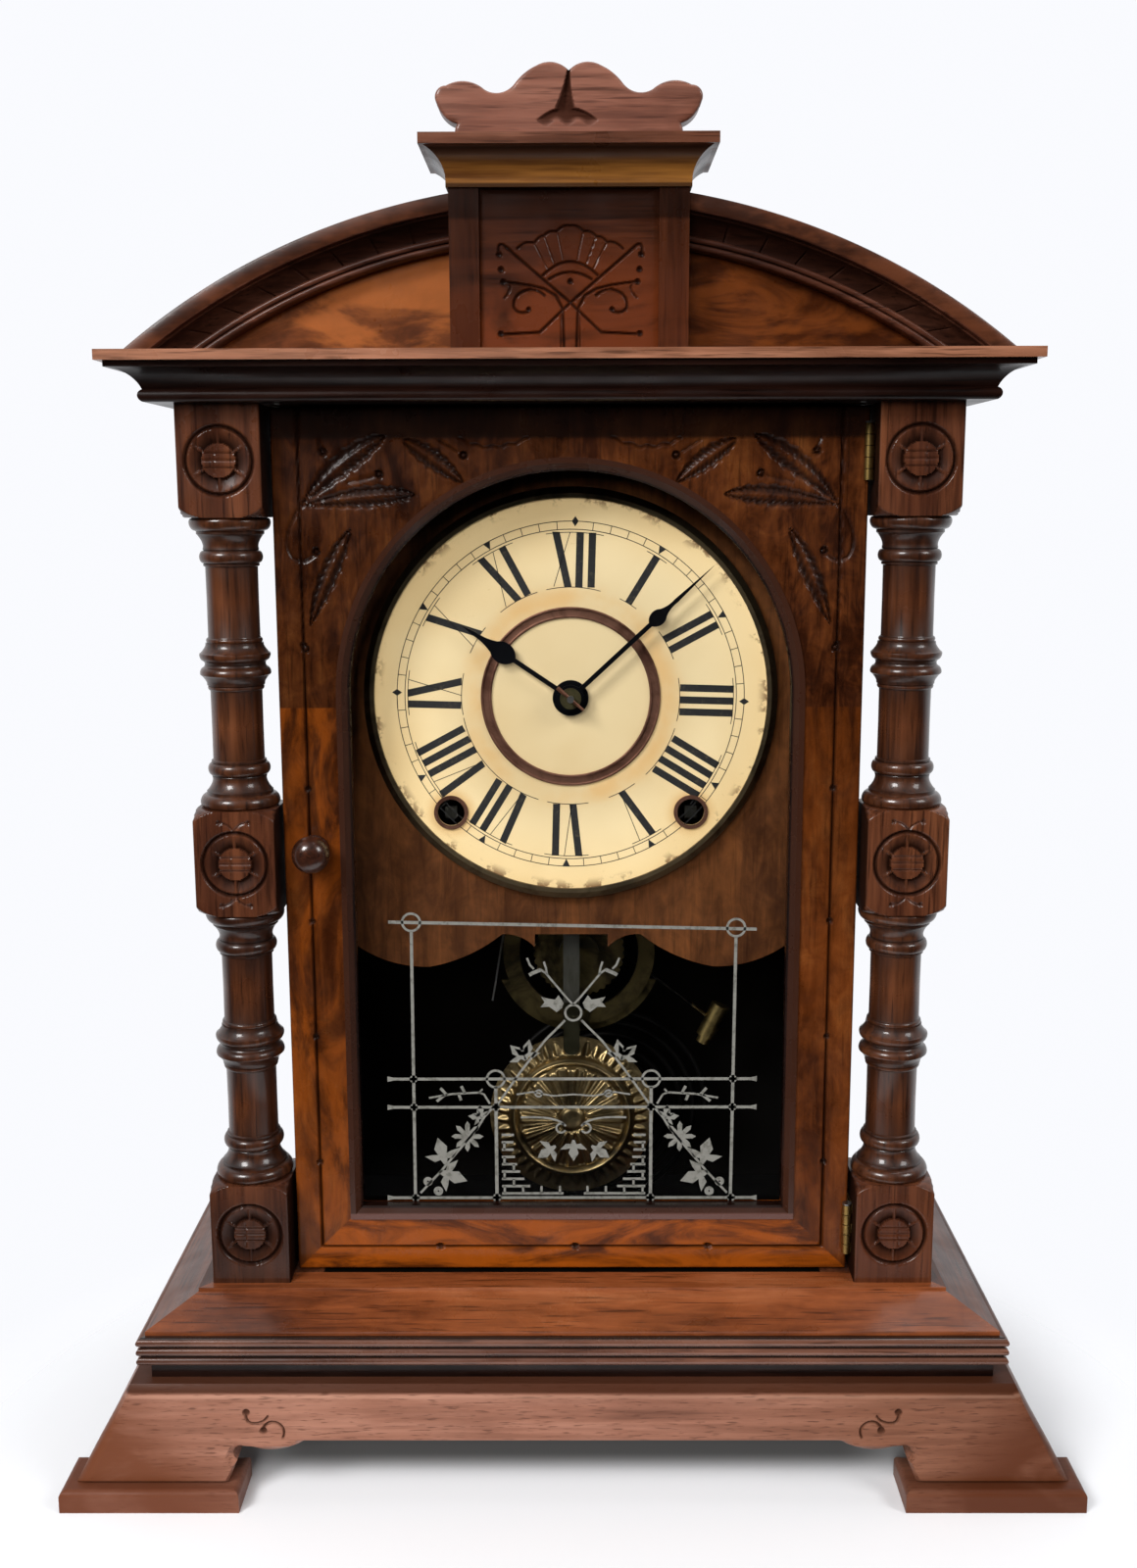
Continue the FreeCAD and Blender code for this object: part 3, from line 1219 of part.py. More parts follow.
def escape_wheel():
    z = PIVOT_Z - ESCAPE_DROP
    wheel = toothed_disc(ESCAPE_RADIUS, 2 * TOOTH_DEPTH, ESCAPE_TEETH,
                         ESCAPE_Y, ESCAPE_Y + PLATE_THICKNESS, 0, z)
    return wheel.fuse(rod_y(ARBOR_RADIUS, FRONT_PLATE_Y, BACK_PLATE_BACK_Y, 0, z))


def verge():
    """Pallet strip over the escape wheel, its arbor, and the crutch wire down to the pendulum."""
    arbor = rod_y(ARBOR_RADIUS, FRONT_PLATE_Y - CRUTCH_GAP, BACK_PLATE_BACK_Y, 0, PIVOT_Z)
    pallets = box(-PALLET_SPAN, PALLET_SPAN, ESCAPE_Y, ESCAPE_Y + PLATE_THICKNESS,
                  PIVOT_Z - PALLET_THICKNESS / 2, PIVOT_Z + PALLET_THICKNESS / 2)
    wheel_z = PIVOT_Z - ESCAPE_DROP
    leg_inner = PALLET_SPAN - PALLET_THICKNESS
    leg_foot = wheel_z + math.sqrt(ESCAPE_RADIUS ** 2 - leg_inner ** 2) + PALLET_CLEARANCE
    leg = box(leg_inner, PALLET_SPAN, ESCAPE_Y, ESCAPE_Y + PLATE_THICKNESS, leg_foot, PIVOT_Z)
    crutch_y = FRONT_PLATE_Y - CRUTCH_GAP - CRUTCH_RADIUS
    wire = rod_z(CRUTCH_RADIUS, PIVOT_Z - CRUTCH_LENGTH, PIVOT_Z + ARBOR_RADIUS, 0, crutch_y)
    disc = rod_y(ARBOR_RADIUS, crutch_y - CRUTCH_RADIUS, FRONT_PLATE_Y - CRUTCH_GAP + OVERRUN, 0, PIVOT_Z)
    foot_z = PIVOT_Z - CRUTCH_LENGTH
    prong_x = ROD_WIDTH / 2 + CRUTCH_LOOP_GAP + CRUTCH_RADIUS
    bar = Part.makeCylinder(CRUTCH_RADIUS, 2 * prong_x, vec(-prong_x, crutch_y, foot_z), X_AXIS)
    shape = arbor.fuse([pallets, leg, mirror_x(leg), wire, disc, bar])
    for side in (-1, 1):
        shape = shape.fuse(rod_y(CRUTCH_RADIUS, ROD_Y, crutch_y, side * prong_x, foot_z))
    return shape


# Pendulum

def suspension_post():
    """Brass post on the front plate, just above the head of the suspension spring."""
    y0 = ROD_Y + ROD_THICKNESS / 2 - POST_WIDTH / 2
    z0 = PIVOT_Z + ARBOR_RADIUS * 2
    return box(-POST_WIDTH / 2, POST_WIDTH / 2, y0, FRONT_PLATE_Y, z0, z0 + POST_HEIGHT)


def pendulum_rod():
    """Flat rod with the suspension spring at its head and a hook over the bob's front at its foot."""
    top = PIVOT_Z - SPRING_LENGTH
    half = ROD_WIDTH / 2
    bob_top = BOB_Z + BOB_RADIUS
    shelf_z = bob_top + HOOK_RISE
    rod = box(-half, half, ROD_Y, ROD_Y + ROD_THICKNESS, BOB_Z + BOB_DISC_RADIUS, top)
    shelf = box(-half, half, BOB_FRONT_Y, ROD_Y + ROD_THICKNESS, shelf_z - HOOK_THICKNESS, shelf_z)
    hook_back = BOB_FRONT_Y + HOOK_THICKNESS
    tongue_z = bob_top - HOOK_DROP + half
    tongue = box(-half, half, BOB_FRONT_Y, hook_back, tongue_z, shelf_z)
    tongue_end = rod_y(half, BOB_FRONT_Y, hook_back, 0, tongue_z)
    mid_y = ROD_Y + ROD_THICKNESS / 2
    spring_half = SPRING_WIDTH / 2
    spring = box(-SPRING_THICKNESS / 2, SPRING_THICKNESS / 2, mid_y - spring_half, mid_y + spring_half,
                 top - SPRING_WIDTH, PIVOT_Z + ARBOR_RADIUS * 2 - POST_GAP)
    return rod.fuse([shelf, tongue, tongue_end, spring])


def pendulum_bob():
    """Pressed bob: sloping outer flange and a domed front disc, closed at the back."""
    back = ROD_Y
    flange_y = back - (ROD_Y - BOB_FRONT_Y) / 4
    step_y = BOB_FRONT_Y + (ROD_Y - BOB_FRONT_Y) / 4
    face = outline(to_xy, (0, back), [
        ((BOB_RADIUS, back),),
        ((BOB_RADIUS, flange_y),),
        ((BOB_DISC_RADIUS, step_y),),
        ((BOB_DISC_RADIUS / 2, BOB_FRONT_Y + (step_y - BOB_FRONT_Y) / 3), (BOB_BOSS_RADIUS, BOB_FRONT_Y)),
        ((0, BOB_FRONT_Y),)])
    bob = face.revolve(vec(0, 0, 0), Y_AXIS, 360)
    bob.translate(vec(0, 0, BOB_Z))
    return bob


# Strike

def strike_hammer():
    """Arbor in the back plate, wire arm and a brass head with a leather tip."""
    arbor_y = BACK_PLATE_BACK_Y - HAMMER_ARBOR_LENGTH
    arbor = rod_y(ARBOR_RADIUS, arbor_y, BACK_PLATE_BACK_Y, HAMMER_X, HAMMER_Z)
    start = vec(HAMMER_X, GONG_Y, HAMMER_Z)
    reach = vec(HAMMER_REACH_X, 0, HAMMER_REACH_Z)
    wire = Part.makeCylinder(HAMMER_WIRE_RADIUS, reach.Length, start, reach)
    centre = start + reach
    tilt = math.radians(HAMMER_TILT)
    along = vec(-math.sin(tilt), 0, -math.cos(tilt))
    head_start = centre - along * (HAMMER_HEAD_LENGTH / 2)
    head_end = centre + along * (HAMMER_HEAD_LENGTH / 2)
    head = Part.makeCylinder(HAMMER_HEAD_RADIUS, HAMMER_HEAD_LENGTH, head_start, along)
    tip = Part.makeCylinder(HAMMER_HEAD_RADIUS * 0.7, HAMMER_TIP_LENGTH, head_end, along)
    return arbor.fuse([wire, head, tip])


def gong_path():
    """Half-turn arcs that step inwards, from the outer end to the post."""
    edges = []
    radius = GONG_OUTER
    side = -1
    centre_x = GONG_X
    here = vec(centre_x + radius, GONG_Y, GONG_Z)
    points = [here]
    for index in range(GONG_HALF_TURNS):
        next_radius = radius - GONG_PITCH / 2
        reach = (radius + next_radius) / 2
        end = vec(here.x + 2 * side * reach, GONG_Y, GONG_Z)
        middle_x = (here.x + end.x) / 2
        middle = vec(middle_x, GONG_Y, GONG_Z - side * reach)
        edges.append(Part.Arc(here, middle, end).toShape())
        here = end
        points.append(here)
        radius = next_radius
        side = -side
    return edges, points


def gong_coil():
    edges, points = gong_path()
    end = points[-1] - Z_AXIS * (2 * GONG_WIRE_RADIUS)
    edges.append(Part.LineSegment(points[-1], end).toShape())
    path = Part.Wire(edges)
    ring = Part.Wire(Part.makeCircle(GONG_WIRE_RADIUS, points[0], Z_AXIS))
    coil = path.makePipeShell([ring], True, False)
    samples = []
    for edge in edges:
        samples.extend(edge.discretize(24)[:-1])
    least = None
    for first in range(len(samples)):
        for second in range(first + 24, len(samples)):
            distance = (samples[first] - samples[second]).Length
            if least is None or distance < least:
                least = distance
    print("gong least gap to itself", round(least - 2 * GONG_WIRE_RADIUS, 2), "inner end", points[-1])
    return coil


def gong_post():
    """Round foot on the back board and the square stud that the coil's inner end stands on."""
    points = gong_path()[1]
    end = points[-1]
    top = end.z - 2 * GONG_WIRE_RADIUS
    half = GONG_STUD_WIDTH / 2
    base_y = CASE_BACK_Y - GONG_BASE_THICKNESS
    base = rod_y(GONG_BASE_RADIUS, base_y, CASE_BACK_Y, end.x, top - half)
    stud = box(end.x - half, end.x + half, GONG_Y - half, base_y + OVERRUN, top - GONG_STUD_WIDTH, top)
    return base.fuse(stud)


def build():
    save(foot_pads(), "foot_pads")
    save(base_skirt_front(), "base_skirt_front")
    save(pair_x(base_skirt_side()), "base_skirt_sides")
    save(base_glue_blocks(), "base_glue_blocks")
    save(base_frame_board(), "base_frame_board")
    reeds = reed_profile()
    save(mitred_front(reeds, PLINTH_HALF_WIDTH, PLINTH_FRONT_Y, 0, -REED_STRIP_DEPTH), "plinth_reed_front")
    save(pair_x(mitred_side(reeds, PLINTH_HALF_WIDTH, PLINTH_FRONT_Y, 0, -REED_STRIP_DEPTH, BACK_Y)),
         "plinth_reed_sides")
    bevel = bevel_profile()
    save(mitred_front(bevel, BEVEL_X, BEVEL_Y, 0, -BEVEL_STRIP_DEPTH), "plinth_bevel_front")
    save(pair_x(mitred_side(bevel, BEVEL_X, BEVEL_Y, 0, -BEVEL_STRIP_DEPTH, BACK_Y)), "plinth_bevel_sides")
    save(case_floor(), "case_floor")
    save(pair_x(case_side()), "case_sides")
    save(back_board(), "back_board")
    save(case_top_board(), "case_top_board")
    right_column = column()
    save(right_column, "column_right")
    save(mirror_x(right_column), "column_left")
    cornice = cornice_profile()
    save(mitred_front(cornice, COLUMN_HALF_SPAN, COLUMN_FRONT_Y, CORNICE_COVE_OUT, -CORNICE_STRIP_BACK),
         "cornice_moulding_front")
    save(pair_x(mitred_side(cornice, COLUMN_HALF_SPAN, COLUMN_FRONT_Y, CORNICE_COVE_OUT,
                            -CORNICE_STRIP_BACK, BACK_Y)), "cornice_moulding_sides")
    save(cornice_slab(), "cornice_slab")
    save(tympanum_board(), "tympanum_panels")
    save(pair_x(pediment_arch()), "pediment_arches")
    save(tower_block(), "tower_block")
    save(tower_panel(), "tower_panel")
    save(pair_x(tower_pilaster()), "tower_pilasters")
    save(tower_cap(), "tower_cap")
    save(crest(), "crest")
    save(door_frame(), "door_frame")
    save(door_moulding(), "door_moulding")
    save(door_glass(), "door_glass")
    save(door_knob(), "door_knob")
    save(hinge_case_leaves(), "hinge_case_leaves")
    save(hinge_door_leaves(), "hinge_door_leaves")
    save(hinge_pins(), "hinge_pins")
    save(dial_board(), "dial_board")
    save(pair_x(dial_cleat()), "dial_cleats")
    save(dial_rim(), "dial_rim")
    save(dial_plate(), "dial_plate")
    save(dial_centre_ring(), "dial_centre_ring")
    save(winding_eyelets(), "winding_eyelets")
    save(hour_hand(), "hour_hand")
    save(minute_hand(), "minute_hand")
    save(hand_washer(), "hand_washer")
    save(hand_pin(), "hand_pin")
    save(movement_front_plate().fuse([suspension_post(), minute_wheel_stud()]), "movement_front_plate")
    save(movement_back_plate(), "movement_back_plate")
    save(movement_pillars(), "movement_pillars")
    save(movement_blocks(), "movement_blocks")
    save(centre_arbor(), "centre_arbor")
    save(hour_wheel(), "hour_wheel")
    save(minute_wheel(), "minute_wheel")
    save(winding_arbor(-1), "time_winding_arbor")
    save(winding_arbor(1), "strike_winding_arbor")
    save(mainsprings(), "mainsprings")
    save(count_wheel(), "count_wheel")
    save(escape_wheel(), "escape_wheel")
    save(verge(), "verge")
    save(pendulum_rod(), "pendulum_rod")
    save(pendulum_bob(), "pendulum_bob")
    save(strike_hammer(), "strike_hammer")
    save(gong_coil(), "gong_coil")
    save(gong_post(), "gong_post")


build()
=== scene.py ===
"""Walnut parlour shelf clock: finishes, carving, dial print, glass ornament, light and camera.

Shapes are in millimetres until a mesh is made; finishes, stage and camera are in metres.
Front is -Y, up is +Z.
"""
import math

import bmesh
import bpy
import numpy as np
from mathutils import Matrix, Vector
from mathutils.geometry import delaunay_2d_cdt


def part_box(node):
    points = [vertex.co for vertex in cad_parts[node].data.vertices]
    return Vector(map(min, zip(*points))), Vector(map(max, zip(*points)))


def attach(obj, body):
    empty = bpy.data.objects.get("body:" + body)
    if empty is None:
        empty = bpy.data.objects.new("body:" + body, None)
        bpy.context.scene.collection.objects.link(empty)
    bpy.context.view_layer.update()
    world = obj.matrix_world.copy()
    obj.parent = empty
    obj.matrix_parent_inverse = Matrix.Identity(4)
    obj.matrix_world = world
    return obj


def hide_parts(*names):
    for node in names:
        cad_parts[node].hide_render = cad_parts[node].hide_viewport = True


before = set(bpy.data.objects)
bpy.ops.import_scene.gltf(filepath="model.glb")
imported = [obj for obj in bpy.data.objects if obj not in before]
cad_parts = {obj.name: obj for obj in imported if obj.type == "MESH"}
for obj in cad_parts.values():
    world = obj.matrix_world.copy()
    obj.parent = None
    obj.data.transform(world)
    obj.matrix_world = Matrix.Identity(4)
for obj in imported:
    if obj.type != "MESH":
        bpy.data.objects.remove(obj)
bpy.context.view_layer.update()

MM = 0.001


def node_box(node):
    """Lowest and highest corner of a node, in millimetres."""
    low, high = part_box(node)
    return np.array(low) / MM, np.array(high) / MM


# Places that follow from the frame
DOOR_LOW, DOOR_HIGH = node_box("door_frame")
PLATE_LOW, PLATE_HIGH = node_box("dial_plate")
SKIRT_LOW, SKIRT_HIGH = node_box("base_skirt_front")
PANEL_LOW, PANEL_HIGH = node_box("tower_panel")
CREST_LOW, CREST_HIGH = node_box("crest")
COLUMN_LOW, COLUMN_HIGH = node_box("column_right")
BOB_LOW, BOB_HIGH = node_box("pendulum_bob")
REED_LOW, REED_HIGH = node_box("plinth_reed_front")
REED_PITCH = (REED_HIGH[2] - REED_LOW[2]) / 3
GLASS_FRONT_Y = node_box("door_glass")[0][1]
HAMMER_END_X = node_box("strike_hammer")[1][0]
DIAL_Z = (PLATE_LOW[2] + PLATE_HIGH[2]) / 2
ROD_HOOK_Z = BOB_HIGH[2] + 14.0
CREST_RISE = CREST_HIGH[2] - CREST_LOW[2]
OPENING_HALF = 85.9
OPENING_BOTTOM_Z = 97.7
OPENING_ARCH_Z = 302.0
SLAB_TOP_Z = node_box("cornice_slab")[1][2]
TOWER_HALF = node_box("tower_block")[1][0]
ARCH_RADIUS = 246.0
ARCH_HALF_SPAN = 156.0
ARCH_CENTRE_Z = SLAB_TOP_Z - math.sqrt(ARCH_RADIUS ** 2 - ARCH_HALF_SPAN ** 2)
NO_EDGE = 1e-9


# Meshes

# Darkening stored on each point: the depth of a cut, and painted shade on pieces that lie in shade
CUT_AND_PAINTED_SHADE = "carved"


class Sheets:
    """Collects grids and outlines of points, and joins them into one mesh."""

    def __init__(self):
        self.points = []
        self.tones = []
        self.faces = []
        self.count = 0

    def keep(self, points, tone=None):
        first = self.count
        self.points.append(np.asarray(points, float).reshape(-1, 3))
        added = len(self.points[-1])
        self.tones.append(np.zeros(added) if tone is None else np.clip(tone, 0, 1).ravel())
        self.count += added
        return first

    def grid(self, points, wrap=False, tone=None):
        """Faces over points[row, column]; wrap joins the last column to the first."""
        rows, columns = points.shape[:2]
        index = self.keep(points, tone) + np.arange(rows * columns).reshape(rows, columns)
        if wrap:
            index = np.concatenate([index, index[:, :1]], axis=1)
        corners = [index[:-1, :-1], index[:-1, 1:], index[1:, 1:], index[1:, :-1]]
        self.faces.extend(np.stack(corners, axis=-1).reshape(-1, 4).tolist())

    def plate(self, points, flip=False):
        """One flat face with many corners."""
        first = self.keep(points)
        face = list(range(first, self.count))
        self.faces.append(face[::-1] if flip else face)

    def build(self, name, finish, body, slot, replaces=(), sharp=35.0, weld=0.002):
        mesh = bpy.data.meshes.new(name)
        mesh.from_pydata((np.concatenate(self.points) * MM).tolist(), [], self.faces)
        carved = mesh.attributes.new(CUT_AND_PAINTED_SHADE, "FLOAT", "POINT")
        carved.data.foreach_set("value", np.concatenate(self.tones))
        work = bmesh.new()
        work.from_mesh(mesh)
        bmesh.ops.remove_doubles(work, verts=work.verts, dist=weld * MM)
        bmesh.ops.recalc_face_normals(work, faces=work.faces)
        work.to_mesh(mesh)
        work.free()
        mesh.polygons.foreach_set("use_smooth", [True] * len(mesh.polygons))
        mesh.set_sharp_from_angle(angle=math.radians(sharp))
        mesh.materials.append(finish)
        piece = bpy.data.objects.new(name, mesh)
        bpy.context.scene.collection.objects.link(piece)
        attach(piece, body)
        if replaces:
            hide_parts(*replaces)


def stack(x, y, z):
    return np.stack(np.broadcast_arrays(x, y, z), axis=-1).astype(float)


def revolve(sheets, profile, place, steps, tone=0.0):
    """Turn (radius, along) points round; place maps x, y of the circle and the height."""
    angles = np.linspace(0, 2 * math.pi, steps, endpoint=False)
    radius, along = np.asarray(profile, float).T[:, :, None]
    across = radius * np.cos(angles)
    tones = np.broadcast_to(np.reshape(tone, (-1, 1)), across.shape)
    sheets.grid(place(across, radius * np.sin(angles), along), wrap=True, tone=tones)


def smooth(value):
    value = np.clip(value, 0, 1)
    return value * value * (3 - 2 * value)


def bezier(start, middle, end, steps=16):
    t = np.linspace(0, 1, steps)[:, None]
    start, middle, end = (np.array(point, float) for point in (start, middle, end))
    return (1 - t) ** 2 * start + 2 * t * (1 - t) * middle + t ** 2 * end


def joined(*curves):
    """One path of several beziers, each given by three points and a number of steps."""
    paths = [bezier(*curve) for curve in curves]
    return np.concatenate([paths[0]] + [path[1:] for path in paths[1:]])


def arc(centre, radius, first, last, steps=24):
    """Points on a circle in the XZ plane, angles in degrees."""
    angles = np.radians(np.linspace(first, last, steps))
    return np.stack([centre[0] + radius * np.cos(angles), centre[1] + radius * np.sin(angles)], axis=1)


def mirror(points):
    return np.asarray(points, float) * (-1, 1)


def through(start, middle, end, steps=14):
    """Points on the circle through three points."""
    (ax, az), (bx, bz), (cx, cz) = start, middle, end
    scale = 2 * (ax * (bz - cz) + bx * (cz - az) + cx * (az - bz))
    squares = [ax * ax + az * az, bx * bx + bz * bz, cx * cx + cz * cz]
    ux = (squares[0] * (bz - cz) + squares[1] * (cz - az) + squares[2] * (az - bz)) / scale
    uz = (squares[0] * (cx - bx) + squares[1] * (ax - cx) + squares[2] * (bx - ax)) / scale
    radius = math.hypot(ax - ux, az - uz)
    first, second, third = (math.atan2(z - uz, x - ux) for x, z in (start, middle, end))
    turn = math.tau if (second - first) % math.tau > (third - first) % math.tau else 0
    angles = first + np.linspace(0, (third - first) % math.tau - turn, steps)
    return np.stack([ux + radius * np.cos(angles), uz + radius * np.sin(angles)], axis=1)


# Carving: each cut gives a depth at points x, z of a face

def along_path(path, x, z):
    """Distance to a path, and the share of the way along it."""
    path = np.asarray(path, float)
    pieces = np.linalg.norm(np.diff(path, axis=0), axis=1)
    starts = np.concatenate([[0], np.cumsum(pieces)])
    best = np.full(x.shape, np.inf)
    share = np.zeros(x.shape)
    for origin, step, start, length in zip(path, np.diff(path, axis=0), starts, np.maximum(pieces, NO_EDGE)):
        t = np.clip(((x - origin[0]) * step[0] + (z - origin[1]) * step[1]) / length ** 2, 0, 1)
        distance = np.hypot(x - origin[0] - t * step[0], z - origin[1] - t * step[1])
        nearer = distance < best
        best = np.where(nearer, distance, best)
        share = np.where(nearer, (start + t * length) / starts[-1], share)
    return best, share


class Carving:
    """Depth of the cuts in a face at the points of a grid."""

    def __init__(self, x, z):
        self.x = x
        self.z = z
        self.depth = np.zeros(x.shape)

    def near(self, path, reach):
        path = np.asarray(path, float)
        low = path.min(axis=0) - reach
        high = path.max(axis=0) + reach
        return np.nonzero((self.x > low[0]) & (self.x < high[0]) & (self.z > low[1]) & (self.z < high[1]))

    def sink(self, place, depth):
        self.depth[place] = np.maximum(self.depth[place], depth)

    def groove(self, path, half_width, depth, taper=0.0):
        """V cut along a path; taper narrows it towards its end."""
        place = self.near(path, half_width)
        distance, share = along_path(path, self.x[place], self.z[place])
        width = half_width * (1 - taper * share)
        self.sink(place, depth * np.clip(1 - distance / width, 0, 1) ** 0.8)

    def leaf(self, path, half_width, depth, teeth, widest):
        """Two gouged and toothed halves beside a raised vein."""
        place = self.near(path, half_width * 1.3)
        distance, share = along_path(path, self.x[place], self.z[place])
        power = math.log(0.5) / math.log(widest)
        width = half_width * np.clip(np.sin(math.pi * share ** power), 0, 1) ** 0.75
        width = width * (1 + 0.07 * np.sin(2 * math.pi * teeth * share))
        across = distance / np.maximum(width, 0.05)
        hollow = np.clip(np.sin(math.pi * np.clip(across, 0, 1) ** 1.35), 0, 1) ** 0.7
        hollow = hollow * (1 - 0.26 * np.cos(2 * math.pi * teeth * (share - 0.1 * across)) ** 2)
        self.sink(place, depth * hollow)

    def disc(self, centre, radius):
        """Points near a centre, and their distance from it as a share of the radius."""
        place = self.near([centre], radius)
        return place, np.hypot(self.x[place] - centre[0], self.z[place] - centre[1]) / radius

    def berry(self, centre, radius, depth):
        """A round button left standing in a ring-shaped cut."""
        place, distance = self.disc(centre, radius)
        ring = smooth(np.clip(1 - np.abs(distance - 0.62) / 0.38, 0, 1))
        self.sink(place, depth * np.where(distance < 0.62, 0.55 + 0.45 * ring, ring))

    def punch(self, centre, radius, depth):
        place, distance = self.disc(centre, radius)
        self.sink(place, depth * np.sqrt(np.clip(1 - distance ** 2, 0, 1)))


def rounded_edge(distance, radius):
    """How far a face falls back near an edge that is rounded over."""
    inside = np.clip(radius - distance, 0, radius)
    return radius - np.sqrt(radius ** 2 - inside ** 2)


# Finishes

class Nodes:
    """A node tree with short calls for its nodes."""

    def __init__(self, tree, place="Object"):
        self.nodes = tree.nodes
        self.links = tree.links
        self.place = self.node("TexCoord").outputs[place]

    def feed(self, socket, value):
        if isinstance(value, bpy.types.NodeSocket):
            self.links.new(value, socket)
        elif value is not None:
            if hasattr(socket.default_value, "__len__") and not hasattr(value, "__len__"):
                value = (value,) * len(socket.default_value)
            if socket.type == "RGBA" and len(value) == 3:
                value = (*value, 1)
            socket.default_value = value

    def node(self, kind, sockets=(), **settings):
        node = self.nodes.new("ShaderNode" + kind)
        for name, value in settings.items():
            setattr(node, name, value)
        for key, value in dict(sockets).items():
            self.feed(node.inputs[key], value)
        return node

    def split(self):
        """X, Y and Z of the place."""
        return tuple(self.node("SeparateXYZ", {0: self.place}).outputs)

    def maths(self, operation, *values, clamp=False):
        return self.node("Math", enumerate(values), operation=operation, use_clamp=clamp).outputs[0]

    def add(self, first, second):
        return self.maths("ADD", first, second)

    def sub(self, first, second):
        return self.maths("SUBTRACT", first, second)

    def mul(self, first, *others):
        for other in others:
            first = self.maths("MULTIPLY", first, other)
        return first

    def mad(self, first, second, third, clamp=False):
        """First times second plus third."""
        return self.maths("MULTIPLY_ADD", first, second, third, clamp=clamp)

    def size(self, value):
        return self.maths("ABSOLUTE", value)

    def far(self, across, up):
        """Length of the diagonal."""
        return self.maths("SQRT", self.add(self.mul(across, across), self.mul(up, up)))

    def span(self, value, low, high, to_low=0.0, to_high=1.0):
        """Map a range of a value to another range, smoothly and clamped."""
        sockets = {"Value": value, "From Min": low, "From Max": high, "To Min": to_low, "To Max": to_high}
        return self.node("MapRange", sockets, interpolation_type="SMOOTHSTEP").outputs["Result"]

    def mix(self, factor, first, second, blend="MIX"):
        sockets = {"Factor": factor, 6: first, 7: second}
        return self.node("Mix", sockets, data_type="RGBA", blend_type=blend).outputs[2]

    def blend(self, factor, first, second):
        """Mix two shaders and use the result for the surface."""
        mixed = self.node("MixShader", {0: factor, 1: first, 2: second})
        self.links.new(mixed.outputs[0], self.out.inputs["Surface"])


class Finish(Nodes):
    """A material with one shader."""

    def __init__(self, name):
        self.material = bpy.data.materials.new(name)
        self.material.use_nodes = True
        super().__init__(self.material.node_tree)
        self.shader = self.nodes["Principled BSDF"]
        self.out = self.nodes["Material Output"]

    def noise(self, scale, detail=4.0, roughness=0.5, warp=0.0, stretch=None, move=None):
        """Noise over the object; stretch scales its axes and move shifts it."""
        place = self.place
        if stretch or move:
            sockets = {"Vector": place, "Scale": stretch or (1, 1, 1), "Location": move}
            place = self.node("Mapping", sockets).outputs[0]
        sockets = {"Vector": place, "Scale": scale, "Detail": detail, "Roughness": roughness,
                   "Distortion": warp}
        return self.node("TexNoise", sockets).outputs["Fac"]

    def ramp(self, value, stops):
        node = self.node("ValToRGB", {"Fac": value})
        elements = node.color_ramp.elements
        while len(elements) < len(stops):
            elements.new(0.5)
        for element, (position, colour) in zip(elements, stops):
            element.position = position
            element.color = (*colour, 1)
        return node.outputs["Color"]

    def tint(self, colour, target, *shares):
        """Mix a colour towards a target by the product of the shares."""
        return self.mix(self.mul(*shares), colour, target)

    def bump(self, height, distance_mm, strength=1.0, under=None):
        sockets = {"Strength": strength, "Distance": distance_mm * MM, "Height": height, "Normal": under}
        return self.node("Bump", sockets).outputs["Normal"]

    def carved(self):
        """How dark a point is made, from 0 to 1: the depth of a cut, painted shade on the blocks' inner
        sides, in the hollow of the arch and in the grooves of the turning, and the darker rings of the
        turning; pieces with none of these give 0.
        """
        return self.node("Attribute", attribute_name=CUT_AND_PAINTED_SHADE).outputs["Fac"]

    def set(self, **sockets):
        """Set shader sockets; an underscore in a name stands for a space."""
        for name, value in sockets.items():
            self.feed(self.shader.inputs[name.replace("_", " ")], value)
        return self.material

    def veil(self, share):
        """Let rays pass straight through by a share."""
        self.blend(share, self.shader.outputs[0], self.node("BsdfTransparent").outputs[0])


GRAIN_STRETCH = {"x": (0.05, 1, 1), "y": (1, 0.05, 1), "z": (1, 1, 0.05)}
TONE_STOPS = (0.36, 0.50, 0.62, 0.78)


